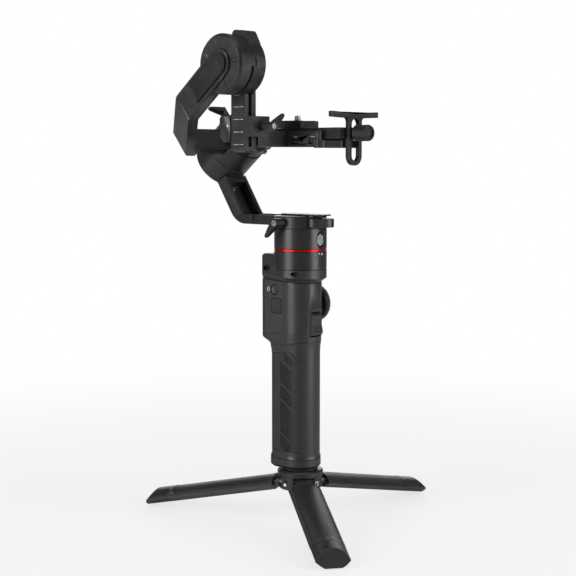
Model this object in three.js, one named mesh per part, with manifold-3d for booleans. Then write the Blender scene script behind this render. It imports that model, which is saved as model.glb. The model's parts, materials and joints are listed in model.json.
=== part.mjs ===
// Three-axis handheld gimbal stabilizer for a camera, standing on its mini tripod.
// Millimetres, +Z up. The origin is the centre of the tripod hub's flat underside, the pan axis is Z,
// the camera's lens would point along -Y, and the tilt motor is on the -X side.
import * as THREE from "three";
import { mergeVertices } from "three/addons/utils/BufferGeometryUtils.js";
import Module from "manifold-3d";

const wasm = await Module();
wasm.setup();

// ---------------------------------------------------------------- driving dimensions
const LARGE = 40; // sides of the motors and the collar
const MEDIUM = 28; // sides of knobs, rings and inner parts
const SMALL = 16; // sides of pins, hubs and bores
const CURVE_STEPS = 4; // on each arc of an extruded outline
const GAP = 0.3; // between two pieces that meet
const SLIDE_GAP = 0.4; // between a sliding piece and its guide
const RAD = Math.PI / 180;

// Tripod
const HUB_R = 21.5;
const HUB_H = 18;
const HUB_RING_H = 6;
const HUB_CORE_R = 8; // the solid middle that the leg slots stop at
const HUB_HEIGHT = 31; // hub underside above the ground
const HINGE_R = 13.5; // distance of a leg's pin from the pan axis
const HINGE_Z = 7.8;
const LEG_AZIMUTHS = [232.3, 352.3, 112.3];
const LEG_LENGTH = 151; // pin to tip
const LEG_ROOT = 10.5; // pin to the start of the full section
const LEG_OUTER_R = 18.5; // the three legs close into one round handle of this radius
const LEG_WALL = 9.5; // along its side faces
const LEG_HALF_ANGLE = 57;
const LEG_TIP_SLANT = 17;
const KNUCKLE_R = 3.8;
const KNUCKLE_HALF_W = 10;
const PIN_R = 1.5;
const STUD_R = 3.1;
const PAD_R = 16.5;
const PAD_H = 2; // washer between hub and handle

// Handle, from the bottom up
const CAP_H = 9;
const CAP_FLARE = 0.8;
const GRIP_H = 111;
const GRIP_R = 18.5;
const GRIP_CORNER = 8.5;
const GRIP_WALL = 3;
const RUBBER_T = 1.3;
const RUBBER_FRONT_Y = -12;
const RUBBER_MARGIN_LOW = 7;
const RUBBER_MARGIN_HIGH = 9;
const CELL_R = 8.9;
const CELL_ROOM = 0.9; // behind the rear cell
const CELL_H = 65;
const HOUSING_H = 58;
const HOUSING_R = 20;
const HOUSING_STEP = 8; // how far the housing's back stands behind the grip's
const HOUSING_CORNER = 4;
const HOUSING_WALL = 4;
const HOUSING_FLARE_H = 9;
const PANEL_T = 1.3;
const PANEL_FRONT_Y = 4;
const PANEL_INSET = 4.5; // its rear edge, in front of the housing's back
const BUTTON_R = 5;
const BUTTON_Y = 14;
const BUTTON_DROP = 10.4; // below the housing's top
const COVER_W = 11.4;
const COVER_H = 13.4;
const COVER_Y = 12;
const COVER_DROP = 25.3;
const TRIGGER_W = 13.5;
const TRIGGER_H = 21;
const TRIGGER_DROP = 52; // its lower end below the housing's top
const TRIGGER_REACH = 2.2; // how far it stands out of the housing
const TRIGGER_GAP = 0.9; // room above and below for its swing
const BROW_H = 4;
const BROW_REACH = 1.6;
const WHEEL_R = 17;
const WHEEL_T = 6.4;
const WHEEL_Y = 2;
const WHEEL_DROP = 25;
const SCREEN_W = 25;
const SCREEN_H = 26;
const SCREEN_T = 1.2;
const SCREEN_DROP = 21;
const JOYSTICK_R = 4.2;
const JOYSTICK_DROP = 44;

// Collar, red ring and pan motor
const COLLAR_R = 24.4;
const COLLAR_SIDE = 20.5;
const COLLAR_BASE_H = 9;
const COLLAR_CHAMFER = 3.2;
const COLLAR_H = 17;
const BLOCK_H = 14; // the base's rear block stands this far above the seam
const KEY_HOLE_AZIMUTH = 209.5;
const THREAD_R = 3; // accessory thread in the block's side
const THREAD_INSET = 8.6;
const THREAD_RISE = 0.5; // above the seam
const CABLE_BORE_R = 8;
const RING_H = 2;
const MOTOR_R = 24.4;
const MOTOR_WALL = 2.2;
const MOTOR_H = 19;
const LOCK_W = 7.6;
const LOCK_H = 11.6;
const SHAFT_R = 4;
const BEARING_R = 8.4;
const PAN_MAGNETS = 2.4; // room for magnets between each motor's wall and its stator
const ROLL_MAGNETS = 3;
const TILT_MAGNETS = 4;
const HEAD_H = 11.2;
const HEAD_FLOOR = 1.6;
const KNOB_R = 13.4;
const KNOB_H = 7.6;
const KNOB_INSET = 1; // the knob's centre, inside the motor's radius
const HEAD_PLATE_T = 1.4;
const LEVER_HUB_R = 4.4;
const PAN_LEVER_TURN = 138; // which way each clamp lever's wing points
const ROLL_LEVER_TURN = 190;
const RAIL_LEVER_TURN = 37;

// Pan arm
const ARM_HALF_W = 14;
const ARM_WALL = 2.7;
const ARM_H = 9;
const ARM_FRONT_Y = 2;
const CHANNEL_FRONT_Y = -9; // how far forward the head's channel lets the arm slide
const ARM_BEND_Y = 70;
const ARM_RISE = 57; // degrees from horizontal
const ARM_RISE_T = 12;
const ARM_RISE_LENGTH = 46;
const TROUGH_STOP = 7; // solid at the top of the rise

// Gimbal: the three axes meet on the pan axis, this far above the pan head
const CENTRE_RISE = 133.3;
const ROLL_SLOPE = 39; // the roll axis falls this much towards the back
const ROLL_R = 25;
const ROLL_STATOR_T = [119.3, 141.5]; // along the roll axis, behind the centre
const ROLL_SPLIT_T = 119;
const JAW_R = 24;
const JAW_TOP = 20.4; // the lever's seat, across the roll axis
const LEVER_SEAT_X = 11;
const JAW_T = [88, 98];
const RAIL_T = [98.3, 109.1];
const RAIL_HALF_W = 10.7;
const RAIL_END_X = 35;
const ROLL_ARM_X = -106; // outer face
const ROLL_ARM_T = 12;
const ROLL_ARM_HALF_W = 12.8;
const ROLL_ARM_BEND = 58;
const ARM_ROOT = { x: -71, t: 94 }; // where the bent part meets its rail
const ARM_LEAN = 33 / 52; // sideways run of the bent part for each millimetre back
const COVER_PLATE_HALF_W = 9.8;
const COVER_PLATE_T = 1.7;
const COVER_PLATE_END = 42;
const TILT_R = 26;
const TILT_STATOR_X = [-104, -88.3];
const TILT_ROTOR_X = [-88, -71];
const RIDGE_Y = [-14, -1];
const RIDGE_H = 4;

// Tilt rail, bracket and platform: each drop is measured down from the gimbal's centre
const TILT_RAIL_X = [-81.5, -68];
const TILT_RAIL_HALF_Y = 8.5;
const TILT_RAIL_DROP = 75.5;
const STRAP_DROP = 4; // the strap's lower end, below the tilt motor
const RAIL_GROOVE_X = [-78, -73.4];
const RAIL_GROOVE_DEPTH = 2.4;
const BRACKET_X = [-82.5, -62];
const BRACKET_DROP = [61.9, 44.2];
const BRACKET_REAR_Y = 22;
const BRACKET_FRONT_Y = -19.4;
const LEVER_HUB_LEN = 14.6;
const RAIL_LEVER_X = -71.6;
const PLATFORM_WALL = 6; // beside the slide plate
const PLATFORM_Y = [-44.6, 25];
const PLATFORM_DROP = [70.5, 56.5];
const TONGUE_Y = -59.5;
const TONGUE_DROP = 65;
const USB_Y = [-16.6, -37.1];
const USB_W = 11.6;
const USB_H = 5.4;
const USB_DEPTH = 4.8;
const SLIDE_HALF_W = 19;
const SLIDE_DROP = [63.5, 53.5];
const SLIDE_Y = [-61, 22];
const DOVETAIL = 1.6;
const PLATE_HALF_W = 13;
const PLATE_Y = [-11.5, 19];
const PLATE_H = 6.4;
const CAMERA_SCREW_R = 3.1;
const SUPPORT_Y = [-65.7, -61.3];
const SUPPORT_BAR_HALF = 32;
const SUPPORT_DROP = [87.1, 39.5];
const SUPPORT_BAR_H = 5;
const SUPPORT_STEM_HALF = 9;
const SUPPORT_SLOT_HALF = 5;
const SUPPORT_KNOB_R = 7.25;
const SUPPORT_KNOB_Y = [-82, -66];

// ---------------------------------------------------------------- heights that follow
const capZ = HUB_H + PAD_H;
const gripZ = capZ + CAP_H;
const housingZ = gripZ + GRIP_H;
const collarZ = housingZ + HOUSING_H;
const seamZ = collarZ + COLLAR_BASE_H;
const ringZ = seamZ + COLLAR_H;
const motorZ = ringZ + RING_H;
const headZ = motorZ + MOTOR_H;
const headTop = headZ + HEAD_H;
const armZ = headZ + HEAD_FLOOR + GAP;
const armTop = armZ + ARM_H;
const centreZ = headTop + CENTRE_RISE;
const belowCentre = (drop) => centreZ - drop;
const tiltRailLow = belowCentre(TILT_RAIL_DROP);
const bracketZ = BRACKET_DROP.map(belowCentre);
const platformZ = PLATFORM_DROP.map(belowCentre);
const tongueTop = belowCentre(TONGUE_DROP);
const slideZ = SLIDE_DROP.map(belowCentre);
const supportZ = SUPPORT_DROP.map(belowCentre);
const plateZ = slideZ[1] + GAP;
const housingTop = collarZ;

// ---------------------------------------------------------------- sizes that follow
const gripInner = GRIP_R - GRIP_WALL;
const gripInnerExtra = 0.6; // the grip's back wall is this much thinner
const cellFrontY = CELL_R + GAP - gripInner;
const cellRearY = cellFrontY + 2 * CELL_R + GAP;
const gripBack = cellRearY + CELL_R + CELL_ROOM + GRIP_WALL - gripInnerExtra;
const housingBack = gripBack + HOUSING_STEP;
const panelRearY = housingBack - PANEL_INSET;
const knobY = KNOB_INSET - MOTOR_R;
const platformHalfW = SLIDE_HALF_W + PLATFORM_WALL;

// ---------------------------------------------------------------- helpers
const X = new THREE.Vector3(1, 0, 0);
const Y = new THREE.Vector3(0, 1, 0);
const Z = new THREE.Vector3(0, 0, 1);

function toSolid(geometry) {
  const flat = geometry.index ? geometry.toNonIndexed() : geometry.clone();
  const bare = new THREE.BufferGeometry().setAttribute("position", flat.getAttribute("position"));
  const merged = mergeVertices(bare, 1e-4);
  return new wasm.Manifold(
    new wasm.Mesh({
      numProp: 3,
      vertProperties: merged.attributes.position.array,
      triVerts: new Uint32Array(merged.index.array),
    }),
  );
}

function toGeometry(solid) {
  const mesh = solid.getMesh();
  const stride = mesh.numProp;
  const place = new Float32Array(mesh.numVert * 3);
  for (let i = 0; i < mesh.numVert; i++) {
    place.set(mesh.vertProperties.subarray(i * stride, i * stride + 3), i * 3);
  }
  const geometry = new THREE.BufferGeometry();
  geometry.setAttribute("position", new THREE.BufferAttribute(place, 3));
  geometry.setIndex(new THREE.BufferAttribute(mesh.triVerts, 1));
  return geometry;
}

function join(...pieces) {
  return toGeometry(pieces.map(toSolid).reduce((a, b) => a.add(b)));
}

function cut(piece, ...tools) {
  return toGeometry(tools.map(toSolid).reduce((a, b) => a.subtract(b), toSolid(piece)));
}

function common(a, b) {
  return toGeometry(toSolid(a).intersect(toSolid(b)));
}

function box(x0, x1, y0, y1, z0, z1) {
  const geometry = new THREE.BoxGeometry(x1 - x0, y1 - y0, z1 - z0);
  return geometry.translate((x0 + x1) / 2, (y0 + y1) / 2, (z0 + z1) / 2);
}

// A cylinder along an axis ("x", "y" or "z") from one place to another, centred on the other two places.
function rod(axis, r, from, to, a = 0, b = 0, sides = MEDIUM) {
  const geometry = new THREE.CylinderGeometry(r, r, to - from, sides);
  const middle = (from + to) / 2;
  if (axis === "x") return geometry.rotateZ(-Math.PI / 2).translate(middle, a, b);
  if (axis === "y") return geometry.translate(a, middle, b);
  return geometry.rotateX(Math.PI / 2).translate(a, b, middle);
}

// A solid of revolution about Z from [radius, height] points that close on themselves or on the axis.
function turned(points, sides = MEDIUM) {
  const line = points.map(([r, z]) => new THREE.Vector2(r, z));
  const onAxis = points[0][0] === 0 && points[points.length - 1][0] === 0;
  if (!onAxis) line.push(line[0].clone());
  return new THREE.LatheGeometry(line, sides).rotateX(Math.PI / 2);
}

// A flat ring about Z, with a small chamfer on its outer edges.
function ring(inner, outer, z0, z1, chamfer = 0, sides = MEDIUM) {
  const profile = [
    [inner, z0],
    [outer - chamfer, z0],
    [outer, z0 + chamfer],
    [outer, z1 - chamfer],
    [outer - chamfer, z1],
    [inner, z1],
  ];
  return turned(chamfer ? profile : [profile[0], [outer, z0], [outer, z1], profile[5]], sides);
}

// An outline in the plane of two axes, extruded along the third between two places.
function slab(axis, points, from, to) {
  const ready = points instanceof THREE.Shape;
  const shape = ready ? points : new THREE.Shape(points.map(([a, b]) => new THREE.Vector2(a, b)));
  const depth = to - from;
  const options = { depth, bevelEnabled: false, curveSegments: CURVE_STEPS };
  const geometry = new THREE.ExtrudeGeometry(shape, options);
  geometry.translate(0, 0, from);
  const basis = new THREE.Matrix4();
  if (axis === "x") basis.makeBasis(Y, Z, X);
  if (axis === "y") basis.makeBasis(Z, X, Y);
  return geometry.applyMatrix4(basis);
}

// The handle's outline: a round front of radius r, sides that run to half width side, and a flat back.
function handleOutline(r, side, back, corner, arcSteps = 14, cornerSteps = 4) {
  const points = [];
  for (let i = 0; i <= arcSteps; i++) {
    const angle = Math.PI + (i / arcSteps) * Math.PI;
    points.push([r * Math.cos(angle), r * Math.sin(angle)]);
  }
  for (const turn of [0, 1]) {
    const middle = turn ? corner - side : side - corner;
    for (let i = 0; i <= cornerSteps; i++) {
      const angle = (turn + i / cornerSteps) * (Math.PI / 2);
      points.push([middle + corner * Math.cos(angle), back - corner + corner * Math.sin(angle)]);
    }
  }
  return points;
}

// Outlines with equal numbers of points, one above another, as one closed solid.
function stack(...levels) {
  const place = [];
  const faces = [];
  const count = levels[0].outline.length;
  for (const level of levels) {
    for (const [x, y] of level.outline) place.push(x, y, level.z);
  }
  for (let k = 0; k + 1 < levels.length; k++) {
    for (let i = 0; i < count; i++) {
      const a = k * count + i;
      const b = k * count + ((i + 1) % count);
      faces.push(a, b, b + count, a, b + count, a + count);
    }
  }
  const last = (levels.length - 1) * count;
  const flat = levels[0].outline.map(([x, y]) => new THREE.Vector2(x, y));
  for (const [a, b, c] of THREE.ShapeUtils.triangulateShape(flat, [])) {
    faces.push(c, b, a, last + a, last + b, last + c);
  }
  const geometry = new THREE.BufferGeometry();
  geometry.setAttribute("position", new THREE.BufferAttribute(new Float32Array(place), 3));
  geometry.setIndex(faces);
  return geometry;
}

function level(z, r, side, back, corner) {
  return { z, outline: handleOutline(r, side, back, corner) };
}

// A stadium or rounded rectangle, as a shape.
function roundedRect(halfA, halfB, radius, centreA = 0, centreB = 0) {
  const shape = new THREE.Shape();
  const a = halfA - radius;
  const b = halfB - radius;
  shape.absarc(centreA + a, centreB + b, radius, 0, Math.PI / 2);
  shape.absarc(centreA - a, centreB + b, radius, Math.PI / 2, Math.PI);
  shape.absarc(centreA - a, centreB - b, radius, Math.PI, 1.5 * Math.PI);
  shape.absarc(centreA + a, centreB - b, radius, 1.5 * Math.PI, 2 * Math.PI);
  return shape;
}

// A clamp lever: a round hub along Z from 0 to length, and a tapered wing that leaves it along +X.
function lever(hubR, length, wingLength, wingT, bore = 0) {
  const wing = new THREE.Shape();
  wing.moveTo(0, -hubR);
  wing.lineTo(wingLength - 2.2, -2.4);
  wing.absarc(wingLength - 2.2, 0, 2.4, -Math.PI / 2, Math.PI / 2);
  wing.lineTo(0, hubR);
  wing.absarc(0, 0, hubR, Math.PI / 2, 1.5 * Math.PI);
  const body = join(rod("z", hubR, 0, length, 0, 0, SMALL), slab("z", wing, length - wingT, length));
  return bore ? cut(body, rod("z", bore, length - 1, length + 1, 0, 0, SMALL)) : body;
}

// The screw that a clamp lever turns, from under its hub.
function leverPin(depth) {
  return rod("z", 2, -depth, 1, 0, 0, SMALL);
}

const PAINT = {
  metal: { color: 0x1c1c1e, roughness: 0.42, metalness: 0.6 },
  plastic: { color: 0x19191a, roughness: 0.55, metalness: 0.0 },
  rubber: { color: 0x131314, roughness: 0.85, metalness: 0.0 },
  red: { color: 0xc4161c, roughness: 0.35, metalness: 0.7 },
  silver: { color: 0xb9babd, roughness: 0.3, metalness: 0.9 },
  glass: { color: 0x0a0b0d, roughness: 0.1, metalness: 0.0 },
  copper: { color: 0xa05a2c, roughness: 0.45, metalness: 0.8 },
  board: { color: 0x154a2b, roughness: 0.6, metalness: 0.0 },
  cell: { color: 0x2a5f9e, roughness: 0.5, metalness: 0.0 },
};

const gimbal = new THREE.Group();
function node(name, paint, geometry, group = gimbal) {
  const mesh = new THREE.Mesh(geometry, new THREE.MeshStandardMaterial(PAINT[paint]));
  mesh.name = name;
  group.add(mesh);
  return mesh;
}

// ---------------------------------------------------------------- tripod
const slotHalf = KNUCKLE_HALF_W + GAP;
const pinHalf = Math.sqrt(HUB_R ** 2 - HINGE_R ** 2) - 0.5;
const legEdge = (LEG_OUTER_R - LEG_WALL) * Math.cos(LEG_HALF_ANGLE * RAD) - HINGE_R;
const legSlope = Math.asin((HUB_HEIGHT + HINGE_Z + legEdge) / LEG_LENGTH);

function tripodHub() {
  const body = turned([
    [0, 0],
    [HUB_R - 2, 0],
    [HUB_R - 0.6, 1.6],
    [HUB_R - 0.6, HUB_H - HUB_RING_H],
    [HUB_R, HUB_H - HUB_RING_H + 0.6],
    [HUB_R, HUB_H - 1.4],
    [HUB_R - 1.4, HUB_H],
    [0, HUB_H],
  ]);
  const tools = [rod("z", STUD_R + GAP, HUB_H - 12, HUB_H + 1, 0, 0, SMALL)];
  for (const azimuth of LEG_AZIMUTHS) {
    const slot = box(HUB_CORE_R, HUB_R + 5, -slotHalf, slotHalf, -1, HUB_H - HUB_RING_H);
    const bore = rod("y", PIN_R + GAP / 2, -HUB_R, HUB_R, HINGE_R, HINGE_Z, SMALL);
    tools.push(slot.rotateZ(azimuth * RAD), bore.rotateZ(azimuth * RAD));
  }
  return cut(body, ...tools);
}

// A leg lies along its own X from the pin, with Y across it and Z up through its crown.
function leg() {
  const half = LEG_HALF_ANGLE * RAD;
  const section = new THREE.Shape();
  const middle = Math.PI / 2;
  const inner = LEG_OUTER_R - LEG_WALL;
  section.absarc(0, -HINGE_R, LEG_OUTER_R, middle - half, middle + half, false);
  section.lineTo(-inner * Math.sin(half), legEdge);
  section.lineTo(inner * Math.sin(half), legEdge);
  const shell = slab("x", section, LEG_ROOT, LEG_LENGTH);
  const crown = LEG_OUTER_R - HINGE_R;
  const slantCut = slab(
    "y",
    [
      [crown + 1, LEG_LENGTH - LEG_TIP_SLANT],
      [crown + 1, LEG_LENGTH + 1],
      [legEdge, LEG_LENGTH + 1],
      [legEdge, LEG_LENGTH],
    ],
    -LEG_OUTER_R,
    LEG_OUTER_R,
  );
  const root = box(0, LEG_ROOT + 4, -KNUCKLE_HALF_W, KNUCKLE_HALF_W, -KNUCKLE_R, 0);
  const knuckle = rod("y", KNUCKLE_R, -KNUCKLE_HALF_W, KNUCKLE_HALF_W, 0, 0, SMALL);
  const bore = rod("y", PIN_R + GAP, -HUB_R, HUB_R, 0, 0, SMALL);
  return cut(join(cut(shell, slantCut), root, knuckle), bore);
}

node("tripod_hub", "metal", tripodHub());
LEG_AZIMUTHS.forEach((azimuth, i) => {
  const spoke = new THREE.Group();
  spoke.rotation.z = azimuth * RAD;
  gimbal.add(spoke);
  const hinge = new THREE.Group();
  hinge.position.set(HINGE_R, 0, HINGE_Z);
  hinge.rotation.y = legSlope;
  spoke.add(hinge);
  node(`leg_${i + 1}`, "plastic", leg(), hinge);
  node(`leg_pin_${i + 1}`, "silver", rod("y", PIN_R, -pinHalf, pinHalf, HINGE_R, HINGE_Z, SMALL), spoke);
});
node("mounting_pad", "rubber", ring(STUD_R + GAP, PAD_R, HUB_H + GAP, capZ - GAP, 0, MEDIUM));
node("tripod_stud", "silver", rod("z", STUD_R, HUB_H - 11, capZ + CAP_H - 3, 0, 0, SMALL));

// ---------------------------------------------------------------- lower handle
function endCap() {
  const flare = GRIP_R + CAP_FLARE;
  const body = stack(
    level(capZ, flare - 2.2, flare - 2.2, gripBack - 1.4, GRIP_CORNER - 1),
    level(capZ + 2, flare, flare, gripBack + CAP_FLARE, GRIP_CORNER),
    level(gripZ - GAP, flare, flare, gripBack + CAP_FLARE, GRIP_CORNER),
  );
  return cut(body, rod("z", STUD_R + GAP, capZ - 1, gripZ + 1, 0, 0, SMALL));
}

function gripShell() {
  const outer = stack(
    level(gripZ, GRIP_R + CAP_FLARE, GRIP_R + CAP_FLARE, gripBack + CAP_FLARE, GRIP_CORNER),
    level(gripZ + 4, GRIP_R, GRIP_R, gripBack, GRIP_CORNER),
    level(housingZ - 9, GRIP_R, GRIP_R, gripBack, GRIP_CORNER),
    level(housingZ - GAP, GRIP_R + 1, GRIP_R + 1, gripBack + 0.8, GRIP_CORNER),
  );
  const inner = stack(
    level(gripZ - 1, gripInner, gripInner, gripBack - GRIP_WALL + gripInnerExtra, GRIP_CORNER - 2.5),
    level(housingZ + 1, gripInner, gripInner, gripBack - GRIP_WALL + gripInnerExtra, GRIP_CORNER - 2.5),
  );
  return cut(outer, inner, rubberBand(RUBBER_T, 0));
}

// The band of the grip that the rubber fills, from a depth under the grip's surface, less a clearance.
function rubberBand(depth, clearance) {
  const low = gripZ + RUBBER_MARGIN_LOW + clearance;
  const high = housingZ - RUBBER_MARGIN_HIGH - clearance;
  const out = clearance ? 0 : 2;
  const face = stack(
    level(low, GRIP_R + out, GRIP_R + out, gripBack + out, GRIP_CORNER),
    level(high, GRIP_R + out, GRIP_R + out, gripBack + out, GRIP_CORNER),
  );
  const seat = GRIP_R - depth + clearance;
  const core = stack(
    level(low - 1, seat, seat, gripBack - depth + clearance, GRIP_CORNER - depth + clearance),
    level(high + 1, seat, seat, gripBack - depth + clearance, GRIP_CORNER - depth + clearance),
  );
  const front = box(-30, 30, -30, RUBBER_FRONT_Y + clearance, low - 1, high + 1);
  return cut(face, core, front);
}

node("grip_end_cap", "plastic", endCap());
node("grip_shell", "plastic", gripShell());
node("grip_rubber", "rubber", rubberBand(RUBBER_T, GAP));
const cellLow = gripZ + 9;
node("battery_front", "cell", rod("z", CELL_R, cellLow, cellLow + CELL_H, 0, cellFrontY, MEDIUM));
node("battery_rear", "cell", rod("z", CELL_R, cellLow, cellLow + CELL_H, 0, cellRearY, MEDIUM));

// ---------------------------------------------------------------- upper handle
const triggerLow = housingTop - TRIGGER_DROP;
const triggerHigh = triggerLow + TRIGGER_H;
const panelLow = housingZ + HOUSING_FLARE_H;
const panelHigh = housingTop - 1.2;
const buttonZ = housingTop - BUTTON_DROP;
const coverZ = housingTop - COVER_DROP;
const wheelZ = housingTop - WHEEL_DROP;
const screenZ = housingTop - SCREEN_DROP;
const joystickZ = housingTop - JOYSTICK_DROP;
const housingInner = HOUSING_R - HOUSING_WALL;

function housing() {
  const outer = stack(
    level(housingZ, GRIP_R + 1, GRIP_R + 1, gripBack + 0.8, GRIP_CORNER),
    level(panelLow, HOUSING_R, HOUSING_R, housingBack, HOUSING_CORNER),
    level(housingTop - 1, HOUSING_R, HOUSING_R, housingBack, HOUSING_CORNER),
    level(housingTop - GAP, HOUSING_R - 0.6, HOUSING_R - 0.6, housingBack - 0.6, HOUSING_CORNER),
  );
  const inner = stack(
    level(housingZ - 1, housingInner, housingInner, gripBack - HOUSING_WALL, HOUSING_CORNER),
    level(panelLow, housingInner, housingInner, gripBack - HOUSING_WALL, HOUSING_CORNER),
    level(panelLow + 3, housingInner, housingInner, housingBack - HOUSING_WALL, HOUSING_CORNER),
    level(housingTop + 1, housingInner, housingInner, housingBack - HOUSING_WALL, HOUSING_CORNER),
  );
  const brow = slab(
    "x",
    [
      [-HOUSING_R + 1, triggerHigh + 1],
      [-HOUSING_R + 1, triggerHigh + 1 + BROW_H + 2],
      [-HOUSING_R - BROW_REACH, triggerHigh + 1 + BROW_H * 0.6],
      [-HOUSING_R - BROW_REACH, triggerHigh + 1],
    ].reverse(),
    -TRIGGER_W / 2,
    TRIGGER_W / 2,
  );
  const side = TRIGGER_W / 2 + GAP;
  const screenPocket = roundedRect(SCREEN_H / 2 + GAP, SCREEN_W / 2 + GAP, 2.5, screenZ, 0);
  return cut(
    join(outer, brow),
    inner,
    box(-side, side, -30, -8, triggerLow - TRIGGER_GAP, triggerHigh + TRIGGER_GAP),
    box(-HOUSING_R - 1, PANEL_T + GAP - HOUSING_R, PANEL_FRONT_Y, panelRearY, panelLow, panelHigh),
    rod("x", BUTTON_R + GAP, -HOUSING_R - 1, -housingInner - 0.8, BUTTON_Y, buttonZ, MEDIUM),
    slab("x", roundedRect(5, 2.2, 1.5, COVER_Y, coverZ), -HOUSING_R - 1, -housingInner + 1),
    rod("x", SHAFT_R + GAP, housingInner - 1, HOUSING_R + 1, WHEEL_Y, wheelZ, SMALL),
    slab("y", screenPocket, housingBack - SCREEN_T - GAP, housingBack + 1),
    rod("y", JOYSTICK_R + 1.6, housingBack - 1.4, housingBack + 1, 0, joystickZ, MEDIUM),
    rod("y", 2.2 + GAP, housingBack - HOUSING_WALL - 1, housingBack + 1, 0, joystickZ, SMALL),
  );
}

function sidePanel() {
  const plate = box(
    -HOUSING_R,
    PANEL_T - HOUSING_R,
    PANEL_FRONT_Y + GAP,
    panelRearY - GAP,
    panelLow + GAP,
    panelHigh - GAP,
  );
  const high = COVER_H / 2 + GAP;
  const wide = COVER_W / 2 + GAP;
  return cut(
    plate,
    rod("x", BUTTON_R + GAP, -HOUSING_R - 1, -HOUSING_R + 5, BUTTON_Y, buttonZ, MEDIUM),
    box(-HOUSING_R - 1, -HOUSING_R + 5, COVER_Y - wide, COVER_Y + wide, coverZ - high, coverZ + high),
  );
}

function chargeSocket() {
  const shell = slab("x", roundedRect(4.6, 1.8, 1.3, COVER_Y, coverZ), -HOUSING_R + PANEL_T + 0.8, -13);
  return cut(shell, slab("x", roundedRect(4, 1.2, 0.9, COVER_Y, coverZ), -HOUSING_R, -14));
}

function triggerSolid() {
  const face = -HOUSING_R - TRIGGER_REACH;
  return slab(
    "x",
    [
      [-14.5, triggerLow],
      [-14.5, triggerHigh],
      [face + 3, triggerHigh],
      [face + 0.8, triggerHigh - 2.5],
      [face + 1.4, triggerLow + TRIGGER_H * 0.45],
      [face, triggerLow + 3],
      [face + 1.2, triggerLow],
    ].reverse(),
    -TRIGGER_W / 2,
    TRIGGER_W / 2,
  );
}

function focusWheel() {
  const x0 = HOUSING_R + 0.6;
  const rim = turned([
    [0, x0],
    [WHEEL_R - 0.8, x0],
    [WHEEL_R, x0 + 0.8],
    [WHEEL_R, x0 + WHEEL_T - 1.2],
    [WHEEL_R - 1.2, x0 + WHEEL_T],
    [WHEEL_R - 4, x0 + WHEEL_T],
    [WHEEL_R - 5, x0 + WHEEL_T - 1],
    [0, x0 + WHEEL_T - 1],
  ]);
  rim.rotateY(Math.PI / 2).translate(0, WHEEL_Y, wheelZ);
  return join(rim, rod("x", SHAFT_R, housingInner + 0.5, x0 + 1, WHEEL_Y, wheelZ, SMALL));
}

node("handle_housing", "plastic", housing());
node("side_panel", "plastic", sidePanel());
node("charge_socket", "silver", chargeSocket());
const buttonX = [-HOUSING_R + 0.4, -HOUSING_R + 2.6];
node("power_button", "plastic", rod("x", BUTTON_R, ...buttonX, BUTTON_Y, buttonZ, MEDIUM));
const coverFace = -HOUSING_R - 0.2;
const coverShape = roundedRect(COVER_W / 2, COVER_H / 2, 0.6, COVER_Y, coverZ);
node("port_cover", "rubber", slab("x", coverShape, coverFace, coverFace + 1.2));
node("trigger", "plastic", triggerSolid());
node("focus_wheel", "plastic", focusWheel());
node(
  "display_screen",
  "glass",
  slab("y", roundedRect(SCREEN_H / 2, SCREEN_W / 2, 2.2, screenZ, 0), housingBack - SCREEN_T, housingBack),
);
node(
  "joystick",
  "rubber",
  join(
    rod("y", JOYSTICK_R, housingBack + 0.1, housingBack + 2.4, 0, joystickZ, MEDIUM),
    rod("y", 2.2, housingBack - HOUSING_WALL - 0.5, housingBack + 1, 0, joystickZ, SMALL),
  ),
);
const boardY = [housingBack - 10, housingBack - 8.4];
node("control_board", "board", box(-13, 13, ...boardY, panelLow + 4, housingTop - 4));

// ---------------------------------------------------------------- collar and red ring
// The lower collar, with the block behind the upper one.
function collarBase() {
  const body = stack(
    level(collarZ, HOUSING_R, HOUSING_R - 0.4, housingBack, HOUSING_CORNER),
    level(collarZ + COLLAR_CHAMFER, COLLAR_R, COLLAR_SIDE, housingBack, HOUSING_CORNER),
    level(seamZ - GAP, COLLAR_R, COLLAR_SIDE, housingBack, HOUSING_CORNER),
  );
  const top = seamZ + BLOCK_H;
  const block = stack(
    level(seamZ - 1, COLLAR_R, COLLAR_SIDE, housingBack, HOUSING_CORNER),
    level(top - 4.5, COLLAR_R, COLLAR_SIDE, housingBack, HOUSING_CORNER),
    level(top - 1.6, COLLAR_R, COLLAR_SIDE - 0.5, housingBack - 1.4, HOUSING_CORNER),
    level(top, COLLAR_R, COLLAR_SIDE - 1.2, housingBack - 4, HOUSING_CORNER),
  );
  const keyHole = new THREE.CylinderGeometry(2.4, 2.4, 12, SMALL);
  keyHole.rotateZ(-Math.PI / 2).scale(1, 1.8, 1).translate(COLLAR_R, 0, 0);
  keyHole.rotateZ(KEY_HOLE_AZIMUTH * RAD).translate(0, 0, (collarZ + seamZ) / 2);
  const threadY = housingBack - THREAD_INSET;
  return cut(
    join(body, cut(block, box(-COLLAR_R - 1, COLLAR_R + 1, -COLLAR_R - 1, 0, seamZ - 2, top + 1))),
    rod("z", CABLE_BORE_R, collarZ - 1, seamZ + 1, 0, 0, MEDIUM),
    rod("z", COLLAR_R + GAP, seamZ - GAP, top + 1, 0, 0, LARGE),
    rod("x", THREAD_R, -COLLAR_R, -COLLAR_SIDE + 5, threadY, seamZ + THREAD_RISE, SMALL),
    keyHole,
  );
}

node("collar_base", "plastic", collarBase());
node("collar", "metal", ring(CABLE_BORE_R, COLLAR_R, seamZ, ringZ - GAP, 0, LARGE));
node("red_ring", "red", ring(CABLE_BORE_R + 4, MOTOR_R, ringZ, motorZ - GAP, 0, LARGE));

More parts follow.
